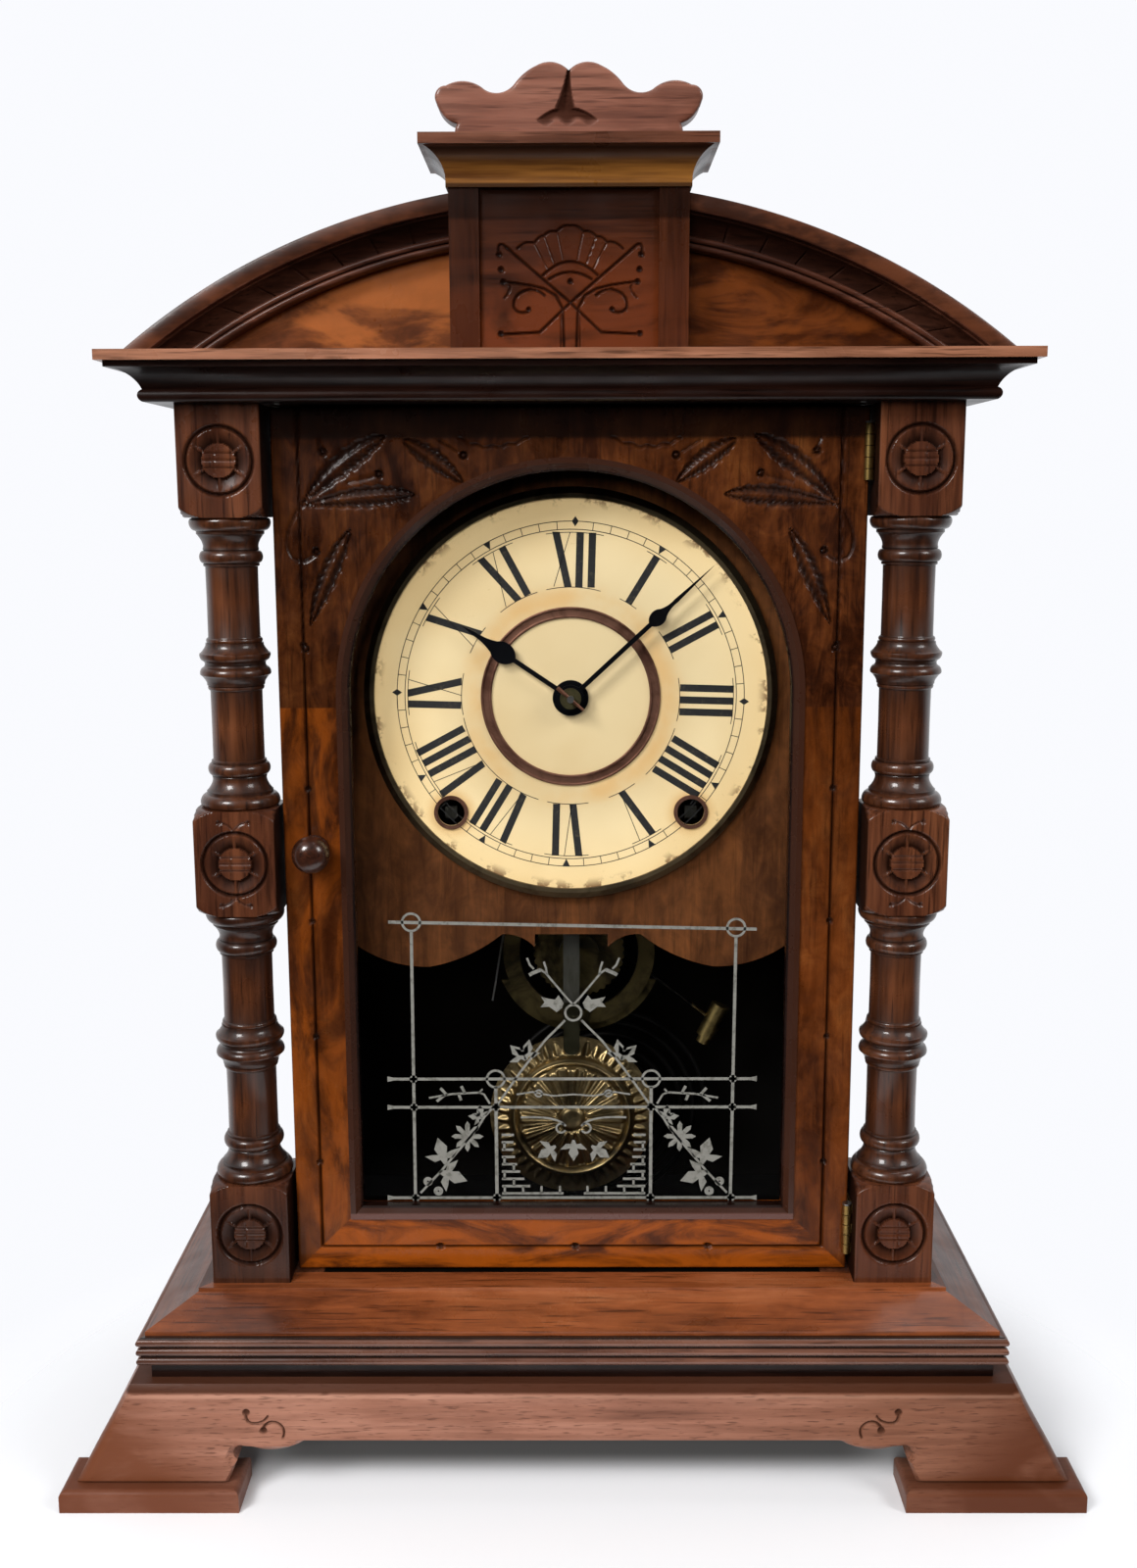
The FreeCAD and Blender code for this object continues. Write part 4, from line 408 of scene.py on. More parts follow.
def wood(name, grain, shades, seed, gloss=0.33, coat=0.2, burl=0.0, pores=1.0, extra=None, shine=0.26,
         ripples=1.0, figure=0.05, smear=0.45, pore_length=1.0, zoom=1.0, wax=1.0, pore_scale=1500.0):
    """Varnished walnut: shades run from the darkest line to the lightest patch."""
    mat = Finish(name)
    fibre = GRAIN_STRETCH[grain]
    stretch = tuple(zoom * (share if share == 1 else figure) for share in fibre)
    fine = tuple(0.6 * share if share == 1 else 0.6 * share / pore_length for share in fibre)
    move = (seed * 1.7, seed * 2.3, seed * 0.9)
    flow = mat.noise(22.0, 2.0, 0.5, 0.6 + 2.5 * burl, stretch, move)
    bands = mat.noise(170.0, 5.0, 0.62, 0.4 + 1.5 * burl, stretch, move)
    clouds = mat.noise(14.0, 3.0, 0.55, 0.5, move=move)
    curl = mat.noise(75.0, 5.0, 0.6, 2.2, move=move)
    tone = mat.mad(flow, 0.45, mat.mul(bands, 0.38))
    tone = mat.add(tone, mat.mul(clouds, 0.30))
    tone = mat.add(tone, mat.mad(curl, 0.30 * burl, -0.13 * burl))
    colour = mat.ramp(tone, list(zip(TONE_STOPS, shades)))
    dark = shades[0]
    streaks = mat.noise(420.0, 4.0, 0.65, 0.3, fibre, move)
    colour = mat.tint(colour, dark, mat.span(streaks, 0.36, 0.60, smear, 0.0))
    dark_lines = mat.span(mat.noise(pore_scale, 2.0, 0.5, 0.0, fine, move), 0.56, 0.70)
    colour = mat.tint(colour, dark, dark_lines, 0.65 * pores)
    if extra:
        colour = extra(mat, colour)
    carved = mat.carved()
    # Darker and duller by the depth of a cut, and where painted shade is stored in the same tone.
    colour = mat.tint(colour, tuple(0.45 * part for part in dark), carved, 0.88)
    rough = mat.span(mat.noise(55.0, 4.0, 0.6, move=move), 0.3, 0.7, gloss - 0.07, gloss + 0.10)
    height = mat.mad(dark_lines, -0.5 * pores, mat.mul(bands, 0.7))
    ripple = mat.noise(110.0, 2.0, 0.5)
    return mat.set(Base_Color=colour, Roughness=mat.mad(carved, 0.25, rough), IOR=1.5, Coat_Roughness=0.12,
                   Coat_Weight=mat.mad(carved, -coat * wax, coat, clamp=True),
                   Specular_IOR_Level=mat.mad(carved, -shine * wax, shine, clamp=True),
                   Normal=mat.bump(ripple, 0.10, 0.35 * ripples, mat.bump(height, 0.05, 0.5)))


def metal(name, clean, dull, roughness, patches=60.0, seed=0.0, patina=0.5):
    """Old metal: a clean colour, a dull one in patches, fine scratches."""
    mat = Finish(name)
    move = (seed, seed * 2, seed * 3)
    spots = mat.noise(patches, 5.0, 0.62, 0.6, move=move)
    colour = mat.mix(mat.span(spots, 0.42, 0.66, 0.0, patina), clean, dull)
    fine = mat.noise(900.0, 3.0, 0.6, move=move)
    return mat.set(Base_Color=colour, Metallic=1.0, Roughness=mat.mad(spots, 0.35, roughness - 0.14),
                   Normal=mat.bump(fine, 0.02, 0.4, mat.bump(spots, 0.15, 0.2)))


# Shades of each wood, from the darkest line to the lightest patch
RED_WALNUT = ((0.012, 0.0035, 0.0018), (0.060, 0.018, 0.0085), (0.125, 0.040, 0.017), (0.21, 0.075, 0.030))
DARK_WALNUT = ((0.0035, 0.0012, 0.0008), (0.018, 0.0052, 0.0028), (0.05, 0.015, 0.007), (0.11, 0.036, 0.016))
# Painted shade: this very dark walnut is put on parts that lie in shade, the frame board under the reeds, the
# cornice mouldings and the door's moulding.
PAINTED_SHADE_WALNUT = ((0.0018, 0.0007, 0.0005), (0.006, 0.002, 0.0013), (0.014, 0.0046, 0.0028),
                (0.03, 0.01, 0.006))
TURNED_WALNUT = ((0.008, 0.0022, 0.001), (0.04, 0.0115, 0.0045), (0.11, 0.034, 0.0125),
                 (0.2, 0.07, 0.028))
BURL_WALNUT = ((0.008, 0.0020, 0.0008), (0.055, 0.013, 0.0035), (0.16, 0.042, 0.010), (0.32, 0.10, 0.024))
BROWN_WALNUT = ((0.045, 0.014, 0.008), (0.165, 0.060, 0.037), (0.265, 0.112, 0.074), (0.37, 0.175, 0.125))
# Pale, greyed base tones: the base's dull finish, with painted sheen from the floor in them.
BASE_WALNUT = ((0.085, 0.033, 0.020), (0.265, 0.114, 0.073), (0.38, 0.182, 0.125), (0.49, 0.262, 0.190))
REED_WALNUT = ((0.020, 0.007, 0.004), (0.075, 0.026, 0.014), (0.15, 0.062, 0.038), (0.24, 0.115, 0.075))
SLAB_WALNUT = ((0.040, 0.013, 0.006), (0.17, 0.062, 0.030), (0.36, 0.155, 0.088), (0.56, 0.29, 0.18))
TYMPANUM_WALNUT = ((0.045, 0.012, 0.0035), (0.115, 0.030, 0.0085), (0.21, 0.058, 0.015), (0.34, 0.108, 0.028))
BOARD_WALNUT = ((0.021, 0.0073, 0.0026), (0.056, 0.0190, 0.0062), (0.10, 0.035, 0.0108), (0.17, 0.058, 0.016))
ARCH_WALNUT = ((0.008, 0.0025, 0.0015), (0.036, 0.011, 0.006), (0.085, 0.028, 0.015), (0.15, 0.058, 0.035))
TOWER_WALNUT = ((0.004, 0.0012, 0.0007), (0.02, 0.0052, 0.0022), (0.055, 0.0145, 0.005), (0.12, 0.034, 0.012))
EDGE_WALNUT = ((0.026, 0.008, 0.004), (0.12, 0.042, 0.022), (0.26, 0.11, 0.068), (0.42, 0.22, 0.15))
BEVEL_WALNUT = ((0.024, 0.006, 0.0022), (0.125, 0.031, 0.009), (0.24, 0.064, 0.019), (0.36, 0.12, 0.046))
AGED_PINE = ((0.060, 0.029, 0.012), (0.105, 0.054, 0.024), (0.15, 0.083, 0.038), (0.19, 0.11, 0.055))
PINE = ((0.20, 0.11, 0.045), (0.34, 0.20, 0.09), (0.45, 0.29, 0.14), (0.55, 0.38, 0.20))

# Limits of soft steps from one tone to the next, in metres
MIDDLE_X = (-0.001, 0.001)
PAD_TOP_Z = (0.0085, 0.0091)
LOW_BLOCK_Z = (0.10, 0.12)
VENEER_JOINT_Z = (0.2975, 0.2983)
DOOR_HEAD_Z = (0.3935, 0.3955)
UNDER_CAP_Z = (0.4655, 0.4672)
CAP_TOP_Z = (0.4879, 0.4889)
CASE_INSIDE_X = (0.0966, 0.0972)
CASE_INSIDE_Y = (0.0682, 0.0688)


def cap_tones_and_painted_shade(mat, colour):
    """Yellow-brown streaked foot of the cap's hollow, painted shade darkening the hollow upward under the
    slab, a painted shadow line at its foot, and a paler top edge.
    """
    _, _, z = mat.split()
    streaks = mat.noise(200.0, 4.0, 0.6, 0.0, (0.05, 1, 1), (7, 7, 7))
    gold = mat.mix(mat.span(streaks, 0.35, 0.65), (0.23, 0.092, 0.018), (0.075, 0.026, 0.006))
    # Painted shade: darker up the hollow, under the slab.
    gold = mat.tint(gold, (0.040, 0.0135, 0.0045), mat.span(z, 0.4825, 0.4878))
    gold = mat.tint(gold, (0.016, 0.0055, 0.0025), mat.span(z, 0.4868, 0.4884))
    # Painted shadow: a dark line at the foot of the hollow.
    gold = mat.tint(gold, (0.012, 0.004, 0.002), mat.span(z, 0.4774, 0.4782, 0.85, 0.0))
    return mat.tint(gold, colour, mat.span(z, *CAP_TOP_Z))


def tower_tones_and_painted_shadow(reach):
    """Painted shadow, black under the cap; redder towards the foot by a reach."""
    def tones(mat, colour):
        _, _, z = mat.split()
        clouds = mat.noise(40.0, 4.0, 0.6, 1.0, (0.5, 1, 1), (3, 3, 3))
        redder = mat.span(z, 0.440, 0.466, reach, 0.12 * reach)
        colour = mat.tint(colour, (0.115, 0.024, 0.0060), redder, mat.span(clouds, 0.30, 0.54))
        # Painted shadow under the cap.
        return mat.tint(colour, (0.004, 0.0014, 0.0008), mat.span(z, *UNDER_CAP_Z, 0.0, 0.72))
    return tones


def base_tones_and_painted_light(mat, colour):
    """Browner feet and pad tops; painted shade darker towards the right, on the rounded top edge under the
    plinth and in black on the back of the apron; a painted highlight as a lighter line below the top edge.
    """
    x, y, z = mat.split()
    across = mat.size(x)
    clouds = mat.noise(16.0, 4.0, 0.6, 1.2, (0.5, 1, 1.6), (8, 8, 8))
    foot = mat.span(mat.sub(across, z), 0.105, 0.150)
    colour = mat.tint(colour, (0.135, 0.042, 0.018), foot, mat.span(clouds, 0.36, 0.52, 0.45, 1.0))
    colour = mat.tint(colour, (0.105, 0.032, 0.016), mat.span(z, *PAD_TOP_Z, 0.55, 0.0))
    # Painted shade: darker towards the right side.
    painted_right_shade = mat.mix(mat.span(x, 0.03, 0.13), (1, 1, 1), (0.68, 0.62, 0.54))
    colour = mat.mix(1.0, colour, painted_right_shade, "MULTIPLY")
    top = SKIRT_HIGH[2] * MM
    # Painted highlight: a lighter line below the rounded top edge.
    wear_and_painted_light = mat.mul(mat.span(z, top - 0.0052, top - 0.0044), mat.span(z, top - 0.0038, top - 0.0032, 1.0, 0.0))
    colour = mat.tint(colour, (0.50, 0.30, 0.21), wear_and_painted_light, 0.18)
    # Painted shade: dark rounded top edge under the plinth.
    colour = mat.tint(colour, (0.045, 0.013, 0.005), mat.span(z, top - 0.0036, top - 0.0022), 0.93)
    # Painted shade: the back of the apron is made black.
    back = SKIRT_HIGH[1] * MM
    behind = mat.span(y, back - 0.0006, back - 0.0002)
    apron = mat.mul(mat.span(z, 0.0088, 0.0092), mat.span(across, 0.150, 0.152, 1.0, 0.0))
    behind = mat.mul(behind, apron, mat.span(y, -0.050, -0.049, 1.0, 0.0))
    return mat.tint(colour, (0.004, 0.003, 0.002), behind)


def block_tones(mat, colour):
    """Darker lowest block at the left, redder one at the right."""
    x, _, z = mat.split()
    below = mat.span(z, *LOW_BLOCK_Z, 1.0, 0.0)
    colour = mat.tint(colour, (0.016, 0.0055, 0.0030), below, mat.span(x, *MIDDLE_X, 0.60, 0.0))
    return mat.tint(colour, (0.072, 0.018, 0.0058), below, mat.span(x, *MIDDLE_X, 0.0, 0.45))


def reed_painted_shade(mat, colour):
    """Painted shade in the hollows between the reeds."""
    _, _, z = mat.split()
    phase = mat.maths("FRACT", mat.mad(z, 1 / (REED_PITCH * MM), -REED_LOW[2] / REED_PITCH))
    hollow = mat.span(mat.size(mat.sub(phase, 0.5)), 0.30, 0.44)
    return mat.tint(colour, (0.004, 0.0018, 0.001), hollow, 0.9)


def tympanum_tones(mat, colour):
    """Bold dark swirls, and a browner sheet at the right."""
    x, _, _ = mat.split()
    swirl = mat.noise(38.0, 3.0, 0.5, 3.0, (0.5, 1, 1), (9, 9, 9))
    lines = mat.span(mat.size(mat.sub(swirl, 0.5)), 0.0, 0.11, 0.42, 0.0)
    colour = mat.tint(colour, (0.040, 0.0105, 0.0030), lines)
    patches = mat.noise(34.0, 5.0, 0.58, 1.8, (0.6, 1, 1.3), (1, 3, 2))
    amber = mat.mix(mat.span(patches, 0.38, 0.60), (0.040, 0.0095, 0.0022), (0.34, 0.098, 0.020))
    right = mat.mix(mat.span(x, *MIDDLE_X), (1, 1, 1), (0.44, 0.38, 0.32))
    return mat.mix(1.0, mat.mix(0.6, colour, amber), right, "MULTIPLY")


def rim_painted_light(mat, colour):
    """Painted light on the dark moulding: a lighter bead along the foot of the opening, where it faces up to
    the light, and a browner front edge elsewhere.
    """
    _, y, z = mat.split()
    colour = mat.tint(colour, (0.040, 0.0135, 0.0070), mat.span(y, -0.0322, -0.0316, 1.0, 0.0), 0.8)
    return mat.tint(colour, (0.115, 0.052, 0.042), mat.span(z, 0.0996, 0.1004, 1.0, 0.0), 0.8)


def arch_painted_light(mat, colour):
    """Painted light: a lighter streaked band on the front of the arch's outer edge."""
    x, _, z = mat.split()
    radius = mat.far(x, mat.sub(z, ARCH_CENTRE_Z * MM))
    streaks = mat.noise(260.0, 4.0, 0.65, 0.0, (0.12, 1, 0.3), (4, 4, 4))
    wear_and_painted_light = mat.mix(mat.span(streaks, 0.35, 0.62), (0.092, 0.028, 0.0115), (0.026, 0.0078, 0.0036))
    # Painted light on the outer band.
    return mat.tint(colour, wear_and_painted_light, mat.span(radius, (ARCH_RADIUS - 5.6) * MM, (ARCH_RADIUS - 5.0) * MM))


def door_tones_and_painted_shade(mat, colour):
    """Veneer sheets of different tone: brown upper stiles, orange foot and rail, a dark head deepened by
    painted shadow; painted shade darkens the door towards the top under the cornice.
    """
    x, _, z = mat.split()
    left = mat.span(x, *MIDDLE_X, 1.0, 0.0)
    below = mat.span(z, *VENEER_JOINT_Z, 1.0, 0.0)
    # Painted shade: the door grows darker towards the top, under the cornice.
    loose = mat.mad(mat.noise(9.0, 3.0, 0.6), 0.16, z)
    joint = mat.mad(mat.mul(mat.span(z, *VENEER_JOINT_Z), left), -0.35, 1.0)
    shade = mat.mul(mat.span(loose, 0.30, 0.40, 1.0, 0.50), joint)
    colour = mat.mix(1.0, colour, mat.mix(shade, (0.0, 0.0, 0.0), (1, 1, 1)), "MULTIPLY")
    clouds = mat.noise(55.0, 5.0, 0.62, 1.6, (1, 1, 0.35), (2, 2, 2))
    amber = mat.mix(mat.span(clouds, 0.36, 0.62), (0.022, 0.0048, 0.0008), (0.165, 0.036, 0.0028))
    colour = mat.tint(colour, amber, below, mat.mad(left, 0.35, 0.40))
    colour = mat.tint(colour, (0.028, 0.0070, 0.0016), below, mat.span(x, *MIDDLE_X, 0.0, 0.30))
    # Dark head: dark veneer with painted shadow under the cornice.
    colour = mat.tint(colour, (0.005, 0.0022, 0.0015), mat.span(z, *DOOR_HEAD_Z), 0.82)
    mitre = mat.sub(mat.sub(z, DOOR_LOW[2] * MM), mat.sub(DOOR_HIGH[0] * MM, mat.size(x)))
    flecks = mat.noise(90.0, 5.0, 0.65, 1.0, (0.30, 1, 1), (6, 6, 6))
    foot = mat.mix(mat.span(flecks, 0.34, 0.62), (0.050, 0.0100, 0.0008), (0.28, 0.060, 0.0030))
    return mat.tint(colour, foot, mat.span(mitre, -0.0005, 0.0005, 1.0, 0.0), 0.85)


def inside_painted_shade(mat, colour):
    """Painted shade: the inside of the case is made black; the outside keeps its wood."""
    x, y, _ = mat.split()
    inside = mat.mul(mat.span(mat.size(x), *CASE_INSIDE_X, 1.0, 0.0), mat.span(y, *CASE_INSIDE_Y, 1.0, 0.0))
    return mat.tint(colour, (0.0016, 0.0013, 0.0010), inside)


walnut_y = wood("walnut_deep", "y", RED_WALNUT, 3.0)
walnut_base = wood("walnut_base", "x", BASE_WALNUT, 4.0, gloss=0.42, coat=0.03, shine=0.12, smear=0.26,
                   pores=1.1, pore_length=0.5, pore_scale=2400.0, extra=base_tones_and_painted_light)
walnut_reed = wood("walnut_reed", "x", REED_WALNUT, 4.2, gloss=0.26, coat=0.5, shine=0.5, smear=0.2,
                   extra=reed_painted_shade)
walnut_rim = wood("walnut_rim", "x", PAINTED_SHADE_WALNUT, 5.0, gloss=0.28, coat=0.3, shine=0.3, extra=rim_painted_light)
# Painted shade for the frame board and the cornice mouldings.
walnut_painted_shade = wood("walnut_painted_shade", "x", PAINTED_SHADE_WALNUT, 5.2, shine=0.25, coat=0.15)
walnut_knob = wood("walnut_knob", "y", DARK_WALNUT, 6.6, gloss=0.24, coat=0.5, shine=0.5)
walnut_turned = wood("walnut_turned", "z", TURNED_WALNUT, 6.0, gloss=0.26, coat=0.5, shine=0.36, wax=0.0)
walnut_block = wood("walnut_block", "z", RED_WALNUT, 7.0, gloss=0.30, coat=0.18, wax=0.7, extra=block_tones)
walnut_tower = wood("walnut_tower", "x", TOWER_WALNUT, 8.0, wax=0.4, coat=0.10, shine=0.2,
                    extra=tower_tones_and_painted_shadow(0.85))
walnut_tower_z = wood("walnut_tower_upright", "z", TOWER_WALNUT, 8.5, coat=0.08, shine=0.2,
                      extra=tower_tones_and_painted_shadow(0.30))
walnut_edge = wood("walnut_edge", "x", SLAB_WALNUT, 8.7, gloss=0.30)
walnut_bevel = wood("walnut_bevel", "x", BEVEL_WALNUT, 4.4, gloss=0.30, smear=0.15, figure=0.14, burl=0.3)
walnut_cap = wood("walnut_cap", "x", EDGE_WALNUT, 8.9, coat=0.08, shine=0.2, extra=cap_tones_and_painted_shade)
walnut_arch = wood("walnut_arch", "x", ARCH_WALNUT, 5.5, gloss=0.36, coat=0.05, extra=arch_painted_light)
walnut_crest = wood("walnut_crest", "x", BROWN_WALNUT, 9.0, gloss=0.42, coat=0.25)
burl_panel = wood("burl_panel", "x", TYMPANUM_WALNUT, 10.0, burl=0.7, figure=0.6, smear=0.0, pores=0.2,
                  zoom=0.35, coat=0.1, shine=0.2, extra=tympanum_tones)
door_wood = wood("walnut_door", "z", BURL_WALNUT, 11.0, gloss=0.30, coat=0.12, burl=0.8, extra=door_tones_and_painted_shade,
                 figure=0.32, smear=0.2, pores=0.6, shine=0.2, wax=0.3)
board_wood = wood("walnut_board", "z", BOARD_WALNUT, 12.0, gloss=0.5, coat=0.0, burl=0.8, figure=0.3,
                  smear=0.15, pores=0.5, shine=0.15, ripples=0.0)
pine = wood("pine", "x", PINE, 13.0, gloss=0.62, coat=0.0, pores=0.4)
pine_dark = wood("pine_aged", "z", AGED_PINE, 14.0, gloss=0.75, coat=0.0, extra=inside_painted_shade, shine=0.1)
case_wood = wood("walnut_case", "z", RED_WALNUT, 15.0, extra=inside_painted_shade, shine=0.12, coat=0.0, gloss=0.5)

brass = metal("brass", (0.50, 0.33, 0.11), (0.16, 0.11, 0.045), 0.36, seed=1.0)
brass_dark = metal("brass_dull", (0.105, 0.080, 0.032), (0.020, 0.017, 0.010), 0.42, seed=2.0, patina=0.9)
copper = metal("copper", (0.29, 0.145, 0.098), (0.12, 0.052, 0.034), 0.55, seed=3.0, patina=0.85)
steel = metal("steel", (0.42, 0.41, 0.39), (0.16, 0.15, 0.13), 0.35, seed=4.0)
steel_dark = metal("steel_dark", (0.085, 0.083, 0.068), (0.03, 0.028, 0.022), 0.4, seed=4.2)
iron = metal("iron", (0.022, 0.021, 0.020), (0.012, 0.011, 0.010), 0.55, seed=5.0)
blued = metal("blued_steel", (0.018, 0.019, 0.024), (0.012, 0.012, 0.013), 0.42, seed=6.0)
rim_metal = metal("rim_metal", (0.20, 0.15, 0.085), (0.085, 0.065, 0.04), 0.5, seed=7.0, patina=0.9)
green_brass = metal("washer_brass", (0.17, 0.145, 0.070), (0.060, 0.066, 0.034), 0.46, patches=300.0,
                    seed=8.0)
bob_brass = metal("bob_brass", (0.32, 0.235, 0.110), (0.060, 0.046, 0.026), 0.34, patches=70.0, seed=9.0,
                  patina=0.85)


def hammer_finish():
    """Brass head on a dark steel wire."""
    mat = Finish("hammer")
    x, _, _ = mat.split()
    head = mat.span(x, (HAMMER_END_X - 16.0) * MM, (HAMMER_END_X - 15.5) * MM)
    spots = mat.span(mat.noise(90.0, 5.0, 0.6), 0.42, 0.66)
    head_brass = mat.mix(spots, (0.46, 0.34, 0.13), (0.12, 0.085, 0.035))
    return mat.set(Base_Color=mat.mix(head, (0.035, 0.032, 0.028), head_brass), Metallic=1.0, Roughness=0.36)


def rod_finish():
    """Grey rod with a dark hook at its foot."""
    mat = Finish("rod_steel")
    _, _, z = mat.split()
    spots = mat.noise(70.0, 5.0, 0.6, stretch=(1, 1, 0.3))
    grey = mat.mix(mat.span(spots, 0.40, 0.66), (0.155, 0.152, 0.130), (0.085, 0.082, 0.062))
    hook = mat.span(z, ROD_HOOK_Z * MM - 0.0004, ROD_HOOK_Z * MM + 0.0004, 1.0, 0.0)
    colour = mat.tint(grey, (0.040, 0.038, 0.022), hook)
    return mat.set(Base_Color=colour, Metallic=1.0, Roughness=mat.span(spots, 0.3, 0.7, 0.40, 0.55))


WINDING_HOLE_X = 0.0462
WINDING_HOLE_DROP = 0.0447


def dial_paint():
    """Aged zinc dial: cream in the middle, browner to the edge, orange bloom at the copper; the cream is
    painted darker in the middle and lighter outside it, against the lamps' pool of light and the door's
    shadow.
    """
    mat = Finish("dial_paint")
    x, _, z = mat.split()
    up = mat.sub(z, DIAL_Z * MM)
    radius = mat.far(x, up)
    wander = mat.noise(40.0, 4.0, 0.6)
    loose = mat.mad(wander, 0.010, mat.sub(radius, 0.005))
    # Painted shade in the middle and painted light outside it.
    cream = mat.mix(mat.span(radius, 0.036, 0.058), (0.64, 0.505, 0.283), (0.78, 0.625, 0.358))
    colour = mat.tint(cream, (0.82, 0.62, 0.32), mat.span(loose, 0.050, 0.078))
    bloom = mat.span(mat.size(mat.sub(loose, 0.0372)), 0.0, 0.0075, 1.0, 0.0)
    uneven = mat.span(mat.noise(30.0, 4.0, 0.65, move=(5, 5, 5)), 0.30, 0.62)
    colour = mat.tint(colour, (0.62, 0.34, 0.10), bloom, mat.span(radius, 0.0335, 0.0345), uneven, 0.55)
    for side in (-1, 1):
        near = mat.far(mat.add(x, -side * WINDING_HOLE_X), mat.add(up, WINDING_HOLE_DROP))
        near = mat.mad(wander, 0.006, mat.sub(near, 0.003))
        colour = mat.tint(colour, (0.62, 0.37, 0.13), mat.span(near, 0.006, 0.0115, 0.6, 0.0))
    specks = mat.noise(420.0, 3.0, 0.7)
    colour = mat.tint(colour, (0.45, 0.30, 0.12), mat.span(specks, 0.66, 0.80, 0.0, 0.35))
    chips = mat.noise(95.0, 4.0, 0.7, move=(3, 1, 2))
    chips = mat.span(chips, 0.52, 0.60)
    colour = mat.tint(colour, (0.20, 0.11, 0.05), mat.span(radius, 0.0705, 0.0755), chips)
    clouds = mat.noise(22.0, 3.0, 0.5)
    colour = mat.mix(mat.span(clouds, 0.35, 0.7, 0.0, 0.22), colour, (0.66, 0.48, 0.22), "MULTIPLY")
    normal = mat.bump(mat.add(wander, mat.mul(specks, 0.4)), 0.05, 0.3)
    return mat.set(Base_Color=colour, Roughness=0.55, Normal=normal, Specular_IOR_Level=0.35)


def printed(name, fresh, faded, grain, wear_and_painted_light, **sockets):
    """Ink or silver print: a fresh colour and a faded one where it has rubbed away."""
    mat = Finish(name)
    colour = mat.mix(mat.span(mat.noise(*grain), *wear_and_painted_light), fresh, faded)
    return mat.set(Base_Color=colour, Roughness=0.6, **sockets)


def glass():
    """Clear old glass that shadows, soft light and reflections pass through unbent."""
    mat = Finish("old_glass")
    mat.set(Base_Color=(0.985, 0.99, 0.985), Roughness=0.0, IOR=1.12, Specular_IOR_Level=0.15,
            Transmission_Weight=1.0, Normal=mat.bump(mat.noise(12.0, 2.0, 0.5), 0.10, 0.2))
    ray = mat.node("LightPath").outputs
    unseen = mat.maths("MAXIMUM", ray["Is Shadow Ray"], ray["Is Diffuse Ray"])
    mat.veil(mat.maths("MAXIMUM", unseen, ray["Is Glossy Ray"]))
    return mat.material


ink_finish = printed("dial_ink", (0.013, 0.013, 0.013), (0.10, 0.08, 0.05), (700.0, 3.0, 0.6),
                     (0.55, 0.75, 0.0, 0.45))
frost_finish = printed("silver_print", (0.20, 0.196, 0.175), (0.115, 0.112, 0.096), (500.0, 4.0, 0.6),
                       (0.45, 0.7), Specular_IOR_Level=0.2)

DRESSED = {
    walnut_base: ["foot_pads", "base_skirt_sides"],
    walnut_painted_shade: ["base_frame_board", "cornice_moulding_front", "cornice_moulding_sides"],
    walnut_rim: ["door_moulding"],
    walnut_knob: ["door_knob"],
    walnut_reed: ["plinth_reed_front"],
    walnut_bevel: ["plinth_bevel_front"],
    walnut_edge: ["cornice_slab"],
    walnut_cap: ["tower_cap"],
    walnut_y: ["plinth_reed_sides", "plinth_bevel_sides"],
    case_wood: ["case_sides", "case_floor"],
    walnut_tower_z: ["tower_pilasters"],
    burl_panel: ["tympanum_panels"],
    board_wood: ["dial_board"],
    pine: ["base_glue_blocks"],
    walnut_tower: ["tower_block"],
    pine_dark: ["back_board", "dial_cleats", "movement_blocks", "case_top_board"],
    brass: ["hinge_case_leaves", "hinge_door_leaves"],
    hammer_finish(): ["strike_hammer"],
    brass_dark: ["movement_front_plate", "movement_back_plate", "count_wheel", "escape_wheel",
                 "minute_wheel", "hour_wheel"],
    copper: ["winding_eyelets", "hand_pin"],
    steel: ["centre_arbor", "hinge_pins"],
    steel_dark: ["time_winding_arbor", "strike_winding_arbor", "mainsprings", "movement_pillars", "verge"],
    rod_finish(): ["pendulum_rod"],
    iron: ["gong_coil", "gong_post"],
    blued: ["hour_hand", "minute_hand"],
    green_brass: ["hand_washer"],
    rim_metal: ["dial_rim"],
    dial_paint(): ["dial_plate"],
    glass(): ["door_glass"],
}
for finish, nodes in DRESSED.items():
    for node in nodes:
        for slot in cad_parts[node].material_slots:
            slot.link = "OBJECT"
            slot.material = finish


# Columns

BLOCK_HALF = 15.0
BLOCK_HEIGHT = 39.5
BLOCK_SOFT = 0.7
BLOCK_FINE = 72
BLOCK_COARSE = 10
BLOCK_ROWS = 97
COLUMN_X = (COLUMN_LOW[0] + COLUMN_HIGH[0]) / 2
COLUMN_Y = COLUMN_LOW[1] + BLOCK_HALF
TURNING = (COLUMN_HIGH[2] - COLUMN_LOW[2] - 3 * BLOCK_HEIGHT) / 2
ROSETTE_REACH = 13.75
BUTTON_RADIUS = 5.8
CUT_CORNER = 21.2
CUT_CORNER_DEPTH = 4.6
CUT_CORNER_HEIGHT = 5.5


def bulge(start, end, out, steps=9):
    """Convex half round between two profile points."""
    angles = np.linspace(0, math.pi, steps)
    start, end = np.array(start, float), np.array(end, float)
    radius, along = (start + end)[:, None] / 2 - (end - start)[:, None] / 2 * np.cos(angles)
    return list(zip(radius + out * np.sin(angles), along))


def hollow(start, end, power=1.8, steps=8):
    """Concave sweep that starts steep and ends level with the axis."""
    t = np.linspace(0, 1, steps)
    radius = end[0] + (start[0] - end[0]) * (1 - t) ** power
    return list(zip(radius, start[1] + (end[1] - start[1]) * t))


